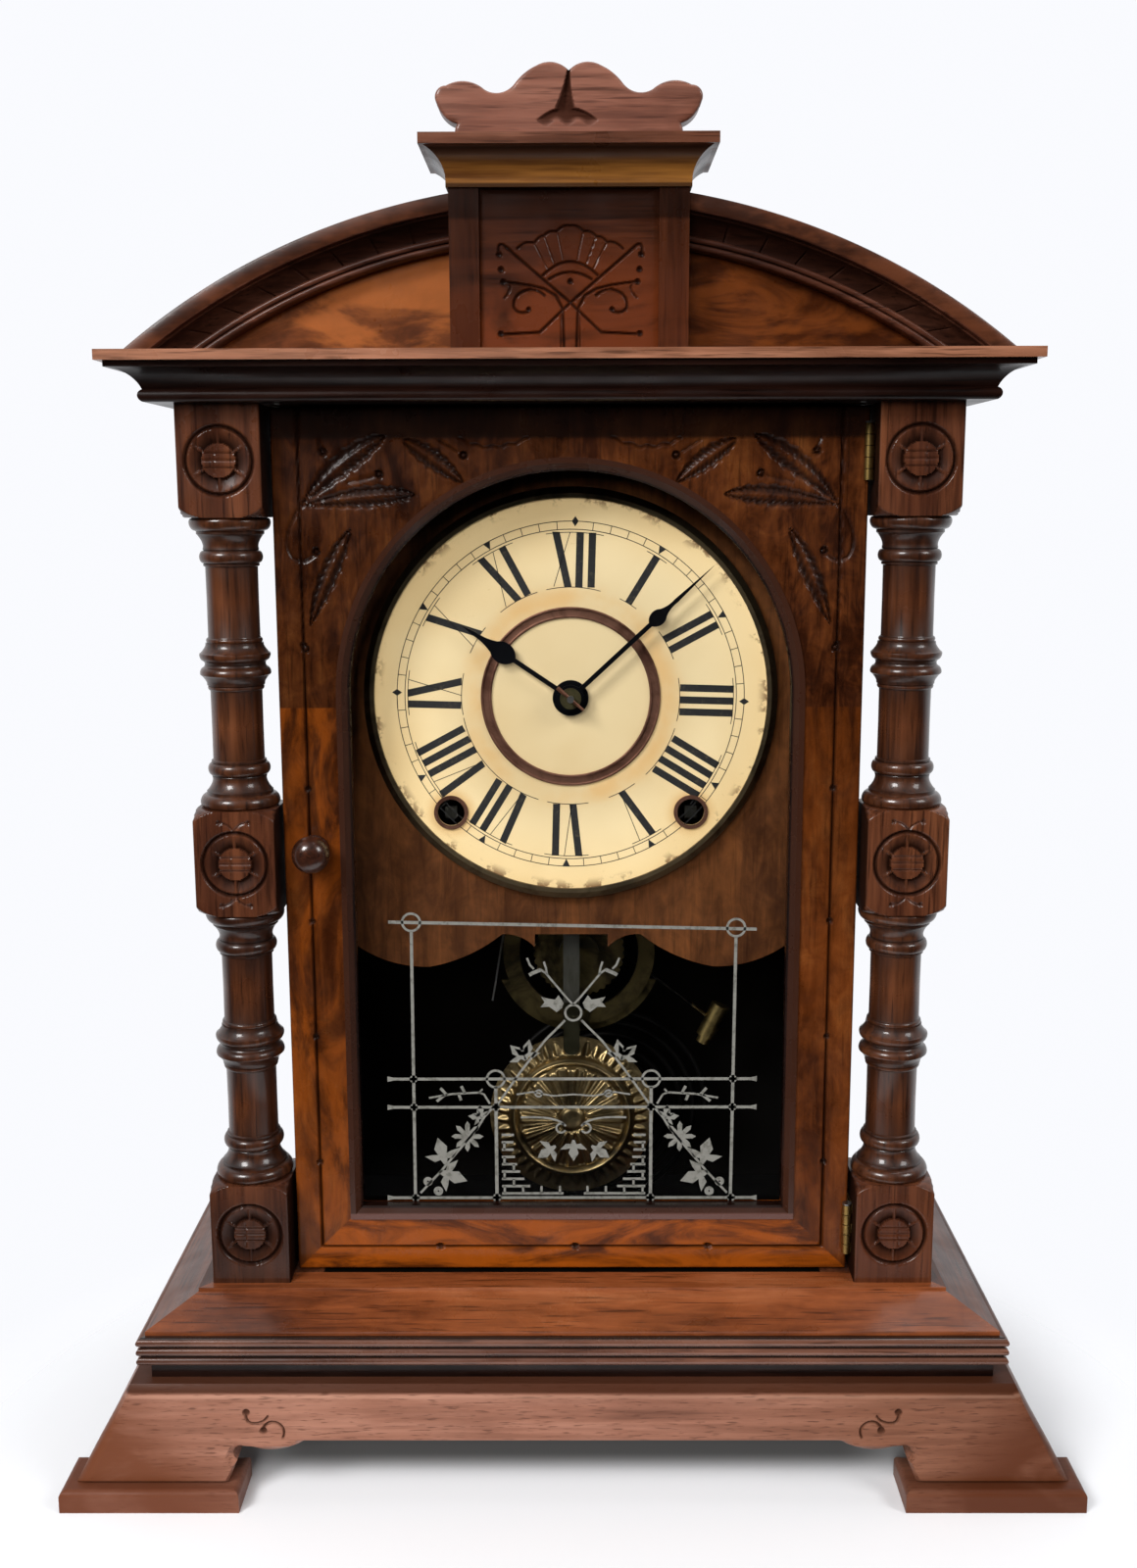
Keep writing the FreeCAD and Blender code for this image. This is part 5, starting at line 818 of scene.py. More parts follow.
def turning_profile():
    """Radius and distance from the block, from one block over the middle to the next."""
    half = [(0.0, 0.0), (13.4, 0.0)]
    half += bulge((13.6, 0.2), (12.6, 4.7), 1.5)
    half += [(12.2, 4.9), (12.2, 5.9)]
    half += hollow((11.9, 6.1), (9.9, 10.4))
    half += [(10.1, 11.4), (9.9, 11.7)]
    half += bulge((9.9, 11.8), (9.9, 16.4), 1.55)
    half += [(10.1, 16.6), (10.1, 17.3), (9.45, 17.7), (9.4, 30.0), (9.45, 43.0)]
    half += bulge((9.6, 43.4), (9.9, 45.0), 0.5, 6)
    half += [(9.9, 45.2), (10.5, 45.3), (10.6, 46.3), (11.1, 47.2), (12.0, 48.4)]
    half += bulge((12.5, 48.9), (11.7, 51.8), 0.75, 7)
    half += [(11.2, 52.3), (11.0, 53.0)]
    return half + [(radius, TURNING - along) for radius, along in reversed(half[:-1])]


# Distance from a block, and how much darker the turning is there: painted shade in the grooves, a darker tone
# on the rings
TURNING_DARKNESS = (
    (0, 0.45), (4.5, 0.35), (5.5, 0.9), (8.0, 0.55), (10.4, 0.5), (11.7, 0.95), (12.6, 0.40),
    (15.8, 0.40), (16.8, 0.9), (18.2, 0.30), (21.0, 0.0), (40.0, 0.0), (42.6, 0.30), (43.3, 0.8),
    (44.4, 0.35), (45.6, 0.85), (48.0, 0.55), (49.8, 0.30), (51.6, 0.5), (53.0, 0.95),
)


def turning_darkness(profile):
    """How much darker the turning is at each profile point: painted shade in its grooves, a darker tone on
    its rings.
    """
    along = np.array(profile)[:, 1]
    return np.interp(np.minimum(along, TURNING - along), *np.array(TURNING_DARKNESS).T)


def rosette(carving, sprigs):
    """Ring, six-spoked dish and scored button in the middle of a block; sprigs above and below."""
    level = BLOCK_HEIGHT / 2
    x, z = carving.x, carving.z - level
    radius = np.hypot(x, z)
    place = np.nonzero(radius < ROSETTE_REACH)
    r = radius[place]
    carving.sink(place, 1.5 * np.clip(1 - np.abs(r - 11.8) / 0.95, 0, 1) ** 0.8)
    inside = (r > 6.1) & (r < 11.0)
    depth = np.where(inside, 1.35 * (1 - np.clip((r - 6.1) / 4.8, 0, 1)) ** 1.2 + 0.15, 0)
    spread = np.mod(np.arctan2(z, x)[place] - math.pi / 2 + math.pi / 6, math.pi / 3) - math.pi / 6
    spoke = np.abs(spread) * r
    ridge = depth * 0.25 + 1.2 * (0.3 - np.abs(spoke - 0.3)).clip(0)
    carving.sink(place, np.where(inside & (spoke < 0.55), ridge, depth))
    for rise in (-2.4, 0.2, 2.6):
        reach = math.sqrt(BUTTON_RADIUS ** 2 - rise ** 2)
        carving.groove([(-reach, level + rise), (reach, level + rise)], 0.42, 0.55)
    carving.groove([(1.6, level - 4.5), (1.6, level + 4.5)], 0.35, 0.25)
    if not sprigs:
        return
    for end in (-1, 1):
        top = level + end * 12.6
        for side in (-1, 1):
            horn = bezier((0, top), (side * 2.0, top + end * 2.6), (side * 4.6, top + end * 3.0), 8)
            carving.groove(horn, 0.5, 0.6)
            carving.punch((side * 5.4, top + end * 3.0), 0.95, 0.8)


def block_ring():
    """Points round a square with soft corners; the front face is finely divided."""
    flat = BLOCK_HALF - BLOCK_SOFT
    corners = ((1, -1, -90), (1, 1, 0), (-1, 1, 90), (-1, -1, 180))
    points = []
    for index, (sx, sy, start) in enumerate(corners):
        bend = arc((sx * flat, sy * flat), BLOCK_SOFT, start, start + 90, 4)
        following = corners[(index + 1) % 4]
        there = bend[-1] + flat * (np.array(following[:2]) - (sx, sy))
        steps = BLOCK_FINE if index == 3 else BLOCK_COARSE
        points.extend([*bend, *np.linspace(bend[-1], there, steps + 1)[1:-1]])
    return np.array(points)


def column_block(sheets, low, cut_low, cut_high, sprigs):
    a, b = block_ring().T[:, None, :]
    t = np.linspace(0, BLOCK_HEIGHT, BLOCK_ROWS)[:, None]
    reach = np.full(t.shape, np.inf)
    for cut, distance in ((cut_low, t), (cut_high, BLOCK_HEIGHT - t)):
        if cut:
            fall = np.clip(1 - distance / CUT_CORNER_HEIGHT, 0, 1)
            cone = CUT_CORNER - CUT_CORNER_DEPTH * fall ** 2.2
            reach = np.minimum(reach, np.where(fall == 0, np.inf, cone))
    shrink = np.minimum(1, reach / np.hypot(a, b))
    x, y, z = np.broadcast_arrays(a * shrink, b * shrink, t)
    carving = Carving(x, z)
    rosette(carving, sprigs)
    cut = carving.depth * np.clip((-y - BLOCK_HALF + 0.3) / 0.3, 0, 1)
    # Painted shade: the block's inner side is made dark through the same tone as the cuts.
    inner = np.clip((-x - BLOCK_HALF + 0.4) / 0.3, 0, 1)
    points = stack(COLUMN_X + x, COLUMN_Y + y + cut, low + z)
    sheets.grid(points, wrap=True, tone=np.maximum(cut / 1.2, inner))
    for row, flip in ((0, True), (-1, False)):
        sheets.plate(stack(COLUMN_X + x[row], COLUMN_Y + y[row], low + z[row]), flip)


def make_columns():
    profile = turning_profile()
    darkness = turning_darkness(profile)
    for side, name in ((1, "column_right"), (-1, "column_left")):
        turned = Sheets()
        squares = Sheets()
        for index in range(3):
            foot = COLUMN_LOW[2] + index * (BLOCK_HEIGHT + TURNING)
            column_block(squares, foot, index > 0, index < 2, index == 1)
        for index in (1, 2):
            top = COLUMN_LOW[2] + index * (BLOCK_HEIGHT + TURNING)
            revolve(turned, profile,
                    lambda a, b, t, top=top: stack(COLUMN_X + a, COLUMN_Y + b, top - t), 64, darkness)
        parts = ((turned, "_turning", walnut_turned), (squares, "_blocks", walnut_block))
        for sheets, ending, finish in parts:
            for points in sheets.points:
                points[:, 0] *= side
            sheets.build(name + ending, finish, "case", "walnut_turned", replaces=(name,), sharp=40)


# Door

LINE_X = 97.2
LINE_Z = DOOR_LOW[2] + 9.2
STILE_DOTS_Z = (121.0, 171.5, 217.0, 267.6, 321.0)
RAIL_DOTS_X = (-51.4, 1.3, 52.9)
FACE_ROWS = 72
FACE_SOFT = 1.1
FULL_CUT = 1.25
STEM_ROOT = (-97.0, 370.6)
STEM_HOOK = (-100.3, 352.6)
LEAVES = (
    ((STEM_ROOT, (-84.5, 385.5), (-65.5, 396.0)), 4.3, 7, 0.6),
    ((STEM_ROOT, (-80.0, 374.6), (-55.2, 374.9)), 4.0, 9, 0.62),
    (((-59.5, 394.2), (-49.5, 388.6), (-37.8, 378.6)), 3.9, 7, 0.45),
    (((-79.2, 362.5), (-88.4, 346.0), (-94.6, 328.0)), 3.6, 6, 0.45),
)
TWIGS = (((-79.5, 378.9), (-70.5, 381.4)), ((-46.5, 393.8), (-40.0, 389.8)), ((-89.6, 394.6), (-88.6, 391.8)))
BERRIES = ((-68.3, 382.1), (-38.0, 388.6), (-88.2, 390.0), (-91.6, 354.6), (-96.6, 319.6))


def door_carving(x, z):
    """Leaves, twigs and berries in the upper corners, and grooves with dots along the stiles and the rail."""
    carving = Carving(x, z)
    stem = joined((STEM_ROOT, (-104.8, 360.0), STEM_HOOK, 12), (STEM_HOOK, (-96.5, 349.4), (-92.6, 353.2), 8))
    top_leaf = bezier((-39.5, 394.6), (-28.0, 388.4), (-15.0, 394.8), 20)
    top_leaf[:, 1] += 0.45 * np.sin(np.linspace(0, 9 * math.pi, 20))
    for turn in (np.asarray, mirror):
        for corners, width, teeth, widest in LEAVES:
            path = turn(bezier(*corners))
            carving.leaf(path, width, 1.4, teeth, widest)
            carving.groove(path, 0.42, 0.5, 0.4)
        carving.groove(turn(stem), 0.75, 0.8)
        carving.groove(turn(top_leaf), 0.7, 0.75)
        for twig in TWIGS:
            carving.groove(turn(twig), 0.65, 0.7)
        for centre in BERRIES:
            carving.berry(turn(centre), 1.75, 1.6)
    for side in (-1, 1):
        carving.groove([(side * LINE_X, LINE_Z), (side * LINE_X, DOOR_HIGH[2])], 0.7, 1.2)
        for level in STILE_DOTS_Z:
            carving.punch((side * LINE_X, level), 1.35, 1.5)
    carving.groove([(-LINE_X, LINE_Z), (LINE_X, LINE_Z)], 0.75, 1.3)
    for place in RAIL_DOTS_X:
        carving.punch((place, LINE_Z), 1.6, 1.6)
    return carving.depth


def door_loops():
    """Matching points round the opening and round the outside of the door."""
    half, top = DOOR_HIGH[0], DOOR_HIGH[2]
    corner = math.degrees(math.atan2(top - OPENING_ARCH_Z, half))
    bends = ((0, corner, 150), (corner, 180 - corner, 400), (180 - corner, 180, 150))
    radians = np.radians(np.concatenate([np.linspace(*bend, endpoint=False) for bend in bends]))
    direction = np.stack([np.cos(radians), np.sin(radians)], axis=1)
    reach = np.minimum(half / np.maximum(np.abs(direction[:, 0]), NO_EDGE),
                       (top - OPENING_ARCH_Z) / np.maximum(direction[:, 1], NO_EDGE))
    loops = []
    edges = ((OPENING_HALF, OPENING_HALF, OPENING_BOTTOM_Z), (reach[:, None], half, DOOR_LOW[2]))
    for radius, across, foot in edges:
        corners = [(-across, OPENING_ARCH_Z), (-across, foot), (across, foot), (across, OPENING_ARCH_Z)]
        sides = [np.linspace(start, end, steps, endpoint=False)
                 for start, end, steps in zip(corners, corners[1:], (320, 280, 320))]
        loops.append(np.concatenate([direction * radius + (0, OPENING_ARCH_Z), *sides]))
    return loops


def make_door():
    inner, outer = door_loops()
    share = np.linspace(0, 1, FACE_ROWS)[:, None, None]
    flat = inner * (1 - share) + outer * share
    x, z = flat[..., 0], flat[..., 1]
    edge = np.minimum(np.minimum(DOOR_HIGH[0] - np.abs(x), DOOR_HIGH[2] - z), z - DOOR_LOW[2])
    cut = door_carving(x, z)
    y = DOOR_LOW[1] + cut + rounded_edge(edge, FACE_SOFT)
    sheets = Sheets()
    sheets.grid(stack(x, y, z), wrap=True, tone=cut / FULL_CUT)
    backs = [stack(loop[:, 0], DOOR_HIGH[1], loop[:, 1]) for loop in (inner, outer)]
    for loop, front, back in ((inner, y[0], backs[0]), (outer, y[-1], backs[1])):
        sheets.grid(np.stack([stack(loop[:, 0], front, loop[:, 1]), back]), wrap=True)
    sheets.grid(np.stack(backs), wrap=True)
    sheets.build("door_frame_carved", door_wood, "door", "walnut_burl", replaces=("door_frame",), sharp=40)


# Boards of any outline with cuts in the front

def board_points(outline, spacing, dense):
    """Evenly spread points over an outline, closer together in the dense boxes."""
    points = []
    for first, last, step in [(outline.min(axis=0), outline.max(axis=0), spacing), *dense]:
        x, z = np.meshgrid(*(np.arange(first[axis] + step / 2, last[axis], step) for axis in (0, 1)))
        x[1::2] += step / 2
        points.append(np.stack([x.ravel(), z.ravel()], axis=1))
    for low, high, _ in dense:
        points[0] = points[0][~np.all((points[0] > low) & (points[0] < high), axis=1)]
    return np.concatenate(points)


def fretted_board(name, node, outline, carve, finish, soft, spacing, dense):
    """Front face fitted inside a closed outline, rounded at its edge, with plain walls and back."""
    low, high = node_box(node)
    closed = np.vstack([outline, outline[:1]])
    inside = board_points(outline, spacing, dense)
    distance, _ = along_path(closed, *inside.T)
    inside = inside[distance > 0.35 * spacing]
    along = np.roll(outline, -1, axis=0) - np.roll(outline, 1, axis=0)
    normal = np.stack([-along[:, 1], along[:, 0]], axis=1)
    normal = normal / np.linalg.norm(normal, axis=1)[:, None]
    rings = [outline + normal * soft * share for share in (0, 0.25, 0.6)]
    count = len(outline)
    edges = [(index, (index + 1) % count) for index in range(count)]
    flat = [Vector(point) for point in np.concatenate([*rings, inside])]
    points, _, faces, _, _, _ = delaunay_2d_cdt(flat, edges, [], 1, 1e-4)
    x, z = np.array(points).T
    distance, _ = along_path(closed, x, z)
    cut = carve(x, z)
    sheets = Sheets()
    sheets.keep(stack(x, low[1] + cut + rounded_edge(distance, soft), z), tone=cut)
    sheets.faces.extend(faces)
    rim, back = (stack(outline[:, 0], level, outline[:, 1]) for level in (low[1] + soft, high[1]))
    sheets.grid(np.stack([rim, back]), wrap=True)
    sheets.plate(back)
    sheets.build(name, finish, "case", "walnut", replaces=(node,), sharp=40)


# Carving of the tower panel, about the place where the rods cross: points, half width and depth of each cut
TOWER_CROSS = (0.4, 439.2)
PANEL_CUTS = (
    (((0, 0), (22.0, 18.3)), 0.62, 1.0),
    (((0, 0), (10.6, -9.8), (22.6, -10.4)), 0.62, 1.0),
    (bezier((20.0, 16.7), (24.8, 21.6), (24.4, 16.6), 9), 0.62, 0.9),
    (((22.4, 6.8), (18.6, 6.4), (13.8, 5.7), (9.0, 4.6), (5.0, 2.4), (2.6, -1.9), (2.1, -16)), 0.62, 0.95),
    (((3.1, -2.0), (3.3, -16)), 0.42, 0.6),
    (joined(((8.8, 2.4), (11.6, 4.9), (14.8, 4.2), 8), ((14.8, 4.2), (19.6, 3.0), (19.4, -1.2), 8),
            ((19.4, -1.2), (18.4, -4.0), (14.4, -3.0), 8)), 0.62, 0.95),
    (bezier((22.0, 6.4), (19.0, 5.6), (22.6, 1.6), 8), 0.5, 0.7),
)
PANEL_BALLS = ((24.2, 15.8, 1.15, 1.1), (23.6, 10.9, 1.15, 1.1), (22.9, 6.8, 1.15, 1.1),
               (23.8, -10.2, 1.15, 1.1), (14.3, -2.2, 1.0, 1.0))
FAN_ARCHES = ((9.4, 13.4, 9.0), (7.3, 10.0, 7.7))
FAN_LOBES = ((-17.9, 17.9), (-12.2, 19.6), (-9.0, 21.9), (-4.6, 23.3), (0, 25.2), (4.6, 23.3), (9.0, 21.6),
             (12.6, 19.8), (17.9, 17.7))
FAN_RIBS = (((-7.6, 10.9), (-12.2, 19.4)), ((-5.2, 12.2), (-8.6, 21.4)), ((-2.2, 13.2), (-4.2, 22.6)),
            ((2.2, 13.2), (4.2, 22.6)), ((5.2, 12.2), (8.6, 21.2)), ((7.6, 10.9), (12.2, 19.4)))


def tower_carving(x, z):
    """Two crossed rods over a fan, with curls at both sides."""
    carving = Carving(x - TOWER_CROSS[0], z - TOWER_CROSS[1])
    for turn in (mirror, np.asarray):
        for path, half_width, depth in PANEL_CUTS:
            carving.groove(turn(path), half_width, depth)
        for across, up, radius, depth in PANEL_BALLS:
            carving.punch(turn((across, up)), radius, depth)
    for half, rise, drop in FAN_ARCHES:
        carving.groove(bezier((-half, drop), (0, 2 * rise - drop), (half, drop)), 0.6, 0.95)
    carving.punch((0, 7.0), 1.1, 1.1)
    rim = []
    for start, end in zip(FAN_LOBES, FAN_LOBES[1:]):
        lift = 0.3 * math.dist(start, end)
        rim.append((start, ((start[0] + end[0]) / 2, (start[1] + end[1]) / 2 + lift), end, 7))
    carving.groove(joined(*rim), 0.5, 0.85)
    for rib in FAN_RIBS:
        carving.groove(rib, 0.34, 0.4)
    return carving.depth


def make_tower_panel():
    (left, _, foot), (right, _, top) = PANEL_LOW, PANEL_HIGH
    outline = np.array([(left, foot), (right, foot), (right, top), (left, top)])
    dense = [((left + 2, foot + 1), (right - 2, TOWER_CROSS[1] + 27), 0.30)]
    fretted_board("tower_panel_carved", "tower_panel", outline, tower_carving, walnut_tower, 0.3, 2.0, dense)


# Arcs of the crest's right half, as shares of its half width and height
CREST_SHARES = (
    ((0.80, 0.0), (0.85, 0.10), (0.84, 0.28)),
    ((0.84, 0.28), (0.93, 0.36), (0.99, 0.52)),
    ((0.99, 0.52), (1.00, 0.64), (0.92, 0.73)),
    ((0.92, 0.73), (0.82, 0.78), (0.63, 0.68)),
    ((0.63, 0.68), (0.48, 0.66), (0.40, 0.76)),
    ((0.40, 0.76), (0.34, 0.86), (0.24, 0.96)),
    ((0.24, 0.96), (0.13, 1.0), (0.0, 0.90)),
)
CREST_CUT_X = -1.2


def crest_carving(x, z):
    """A wedge below the notch over a shallow wavy hollow."""
    carving = Carving(x, z)
    wedge = [(0.0, CREST_LOW[2] + 0.92 * CREST_RISE), (CREST_CUT_X, CREST_LOW[2] + 0.46 * CREST_RISE)]
    place = carving.near(wedge, 5.0)
    distance, along = along_path(wedge, x[place], z[place])
    carving.sink(place, 2.4 * np.clip(1 - distance / (0.55 + 2.9 * along ** 1.6), 0, 1) ** 0.6)
    across = (x - CREST_CUT_X - 0.6) / 11.2
    top = CREST_LOW[2] + CREST_RISE * (0.47 - 0.17 * across ** 2)
    foot = CREST_LOW[2] + CREST_RISE * (0.275 - 0.035 * np.cos(3 * math.pi * across))
    inside = (np.abs(across) < 1) & (z < top) & (z > foot)
    fall = np.clip((z - foot) / (top - foot + 1e-6), 0, 1) ** 0.7 * np.clip((top - z) / 0.5, 0, 1)
    lens = np.where(inside, 1.9 * fall * np.sqrt(np.clip(1 - across ** 2, 0, 1)), 0)
    return np.maximum(carving.depth, lens)


def make_crest():
    right = []
    for shares in CREST_SHARES:
        corners = [(CREST_HIGH[0] * a, CREST_LOW[2] + CREST_RISE * b) for a, b in shares]
        right.extend(through(*corners)[:-1])
    right.append((0.0, CREST_LOW[2] + 0.90 * CREST_RISE))
    outline = np.concatenate([right, mirror(right)[::-1][1:]])
    dense = [((-15.0, CREST_LOW[2] + 4), (14.0, CREST_HIGH[2]), 0.35)]
    fretted_board("crest_carved", "crest", outline, crest_carving, walnut_crest, 1.2, 1.2, dense)


# Arched mouldings of the pediment

NOTCH_COUNT = 8
ARCH_STEPS = 460


def arch_profile(front, back):
    """Radius and depth from the back of the outer edge round to the inner edge."""
    band = ARCH_RADIUS - 6.0
    foot = band - 7.0
    inner = foot - 4.6
    profile = [(ARCH_RADIUS, back), (ARCH_RADIUS, front + 1.0), (ARCH_RADIUS - 0.3, front + 0.3),
               (ARCH_RADIUS - 1.0, front), (band + 1.0, front), (band + 0.3, front + 0.3),
               (band, front + 1.0), (band - 0.1, front + 2.6), (band - 0.7, front + 2.9)]
    for t in np.linspace(0, 1, 10):
        profile.append((band - 0.9 - 5.6 * t, front + 3.4 + 4.4 * math.sin(math.pi / 2 * t) ** 0.8))
    profile += [(foot - 0.1, front + 7.6), (foot - 0.1, front + 5.2)]
    for start in (foot - 0.2, foot - 2.5):
        for angle in np.radians(np.linspace(0, 180, 8)):
            profile.append((start - 1.0 + math.cos(angle), front + 5.0 - math.sin(angle)))
        profile.append((start - 2.15, front + 5.6))
    return np.array(profile + [(inner, front + 5.6), (inner, back)])


def make_arches():
    low, high = node_box("pediment_arches")
    radius, depth = arch_profile(low[1], high[1]).T[:, :, None]
    first = np.arcsin((SLAB_TOP_Z - ARCH_CENTRE_Z) / radius)
    last = np.arccos(TOWER_HALF / radius)
    share = np.linspace(0, 1, ARCH_STEPS)
    angle = first + (last - first) * share
    in_cove = (radius < ARCH_RADIUS - 6.5) & (radius > ARCH_RADIUS - 12.8)
    phase = np.abs(np.mod(share * NOTCH_COUNT + 0.5, 1.0) - 0.5) / NOTCH_COUNT * 160.0
    notch = in_cove * np.clip(1 - phase / 0.7, 0, 1) * (radius < ARCH_RADIUS - 8.0)
    sheets = Sheets()
    for side in (1, -1):
        points = stack(side * radius * np.cos(angle), depth + 0.7 * notch,
                       ARCH_CENTRE_Z + radius * np.sin(angle))
        # Painted shade: the hollow of the arch is made dark through the tone, the notches darker still.
        sheets.grid(points, tone=np.maximum(0.9 * notch, 0.72 * in_cove))
        sheets.plate(points[:, 0])
        sheets.plate(points[:, -1])
        sheets.grid(points[[0, -1]])
    sheets.build("pediment_arches_moulded", walnut_arch, "case", "walnut",
                 replaces=("pediment_arches",), sharp=28)


# Front skirt with its arch and the two small scrolls

FOOT_INNER = 129.6
SKIRT_TOP_HALF = 165.0
NOTCH = 3.0
APRON_Z = 25.5
SCROLLS = (
    (joined(((-121.8, 37.0), (-121.6, 32.8), (-117.6, 33.6), 10),
            ((-117.6, 33.6), (-114.6, 34.2), (-113.6, 36.4), 8)), (-121.6, 38.0)),
    (joined(((-115.4, 31.6), (-113.2, 35.4), (-109.6, 33.4), 10),
            ((-109.6, 33.4), (-106.6, 31.4), (-108.2, 27.6), 8)), (-115.4, 30.6)),
)


def skirt_outline():
    """Closed outline of the front board."""
    notch_x = FOOT_INNER - 1.7 * NOTCH
    notch_z = SKIRT_LOW[2] + 4 * NOTCH
    lobe_x = notch_x - 1.4 * NOTCH
    lobe_z = APRON_Z - 0.9 * NOTCH
    lobe = through((notch_x - 8 * NOTCH, APRON_Z), (lobe_x - NOTCH, lobe_z - NOTCH / 4), (lobe_x, lobe_z), 16)
    notch = through((notch_x, notch_z + NOTCH), (notch_x + NOTCH, notch_z),
                    (notch_x + NOTCH / 2, notch_z - NOTCH), 14)
    half = np.concatenate([lobe, notch, [(FOOT_INNER, SKIRT_LOW[2]), (SKIRT_HIGH[0], SKIRT_LOW[2]),
                                         (SKIRT_TOP_HALF, SKIRT_HIGH[2])]])
    return np.concatenate([half[-2:], mirror(half[::-1]), half[:-2]])[::-1]


def skirt_carving(x, z):
    carving = Carving(x, z)
    for turn in (np.asarray, mirror):
        for path, ball in SCROLLS:
            carving.groove(turn(path), 0.75, 1.1, 0.3)
            carving.punch(turn(ball), 1.45, 1.3)
    return carving.depth


def make_skirt():
    dense = [((side * 115 - 10, 24.0), (side * 115 + 10, 42.0), 0.35) for side in (-1, 1)]
    fretted_board("base_skirt_carved", "base_skirt_front", skirt_outline(), skirt_carving, walnut_base,
                  2.2, 2.4, dense)


def make_centre_ring():
    """Copper ring round the dial's centre, with a raised lip at each edge."""
    low, high = node_box("dial_centre_ring")
    outer = high[0]
    inner = outer - 4.1
    front, back = low[1], high[1]

    def lip(middle, half, rise):
        return [(middle + half * math.cos(a), front + rise * (1 - math.sin(a)))
                for a in np.radians((20, 50, 90, 130, 160))]

    profile = [(outer, back), (outer, front + 0.25), *lip(outer - 0.45, 0.45, 0.25),
               (outer - 1.0, front + 0.45), (outer - 2.0, front + 0.55), (inner + 1.1, front + 0.4),
               *lip(inner + 0.5, 0.5, 0.2), (inner, front + 0.3), (inner, back), (outer, back)]
    sheets = Sheets()
    revolve(sheets, profile, lambda a, b, t: stack(a, t, DIAL_Z + b), 160)
    sheets.build("dial_centre_ring_formed", copper, "case", "copper",
                 replaces=("dial_centre_ring",), sharp=50)


# Bob

BOB_RADIUS = 33.2
BOB_DISC = 24.3
BOB_FLANGE = 24.6
BOB_PETALS = 16
BOB_VEINS = 48
BOB_FLUTES = 44
BOB_STEPS = 432


def make_bob():
    """Embossed disc with petals round a button, inside a fluted flange."""
    a = np.linspace(0, math.tau, BOB_STEPS, endpoint=False)
    r = np.concatenate([np.linspace(0.4, 5.0, 12), np.linspace(5.3, 21.5, 44), np.linspace(21.8, 24.6, 16),
                        np.linspace(24.9, BOB_RADIUS, 24)])[:, None]

    def ridge(middle, width):
        return np.exp(-((r - middle) / width) ** 2)

    dome = -7.0 + 2.6 * (r / BOB_DISC) ** 2 - np.clip(1 - (r / 4.6) ** 2, 0, 1) ** 0.5
    wave = np.cos(BOB_PETALS * a)
    body = smooth((r - 5.0) / 3.0) * (1 - smooth((r - 20.0) / 1.5))
    petals = -body * np.abs(wave) ** 0.6 * np.sign(wave) * (0.5 + 0.5 * (r / BOB_DISC))
    veins = 0.25 * body * np.cos(BOB_VEINS * a)
    disc = dome + petals + veins - 1.3 * ridge(23.4, 0.85) + 0.9 * ridge(21.7, 0.5) + 0.7 * ridge(5.3, 0.5)
    flange = smooth((r - BOB_FLANGE) / 1.2)
    slope = 2.2 + 3.4 * ((r - BOB_FLANGE) / (BOB_RADIUS - BOB_FLANGE)).clip(0, 1) ** 1.3
    flutes = 0.75 * np.cos(BOB_FLUTES * a) * smooth((r - 25.2) / 1.5) * (1 - smooth((r - 31.8) / 1.4))
    y = disc * (1 - flange) + flange * (-4.4 + slope + flutes - 0.9 * ridge(32.4, 0.6))
    y = np.minimum(y - y.min() + BOB_LOW[1] + 0.05, BOB_HIGH[1] - 0.4)
    x = (BOB_LOW[0] + BOB_HIGH[0]) / 2 + r * np.cos(a)
    z = BOB_HIGH[2] - BOB_RADIUS + r * np.sin(a)
    front = stack(x, y, z)
    back = stack(x[-1], BOB_HIGH[1], z[-1])
    sheets = Sheets()
    sheets.grid(front, wrap=True)
    sheets.plate(front[0])
    sheets.grid(np.stack([front[-1], back]), wrap=True)
    sheets.plate(back, flip=True)
    sheets.build("pendulum_bob_embossed", bob_brass, "pendulum", "brass",
                 replaces=("pendulum_bob",), sharp=60)


# Dial print

PRINT_TURN = -1.65
INK_LIFT = 0.04
NUMERALS = ("XII", "I", "II", "III", "IIII", "V", "VI", "VII", "VIII", "IX", "X", "XI")
NUMERAL_INNER = 41.6
NUMERAL_HEIGHT = 20.4
LETTER_WIDTHS = {"I": 4.6, "V": 8.6, "X": 8.6}
THICK_STEM = 2.75
HAIRLINE = 0.28
TRACK_INNER = 63.1
TRACK_OUTER = 66.1


def ribbon(sheets, path, width, y, lift):
    """Flat band of even width along a path, standing a little proud of y."""
    path = np.asarray(path, float)
    along = np.gradient(path, axis=0)
    along = along / np.linalg.norm(along, axis=1)[:, None]
    normal = np.stack([-along[:, 1], along[:, 0]], axis=1) * width / 2
    rows = [stack(side[:, 0], level, side[:, 1])
            for side, level in ((path + normal, y), (path + normal, y - lift), (path - normal, y - lift),
                                (path - normal, y))]
    sheets.grid(np.stack(rows, axis=1), wrap=True)
    sheets.plate([row[0] for row in rows])
    sheets.plate([row[-1] for row in rows])


def patch(sheets, corners, y, lift):
    """Flat shape of a few corners, standing a little proud of y."""
    x, z = np.asarray(corners, float).T
    front = stack(x, y - lift, z)
    back = stack(x, y, z)
    sheets.plate(front)
    sheets.plate(back, flip=True)
    sheets.grid(np.stack([front, back]), wrap=True)


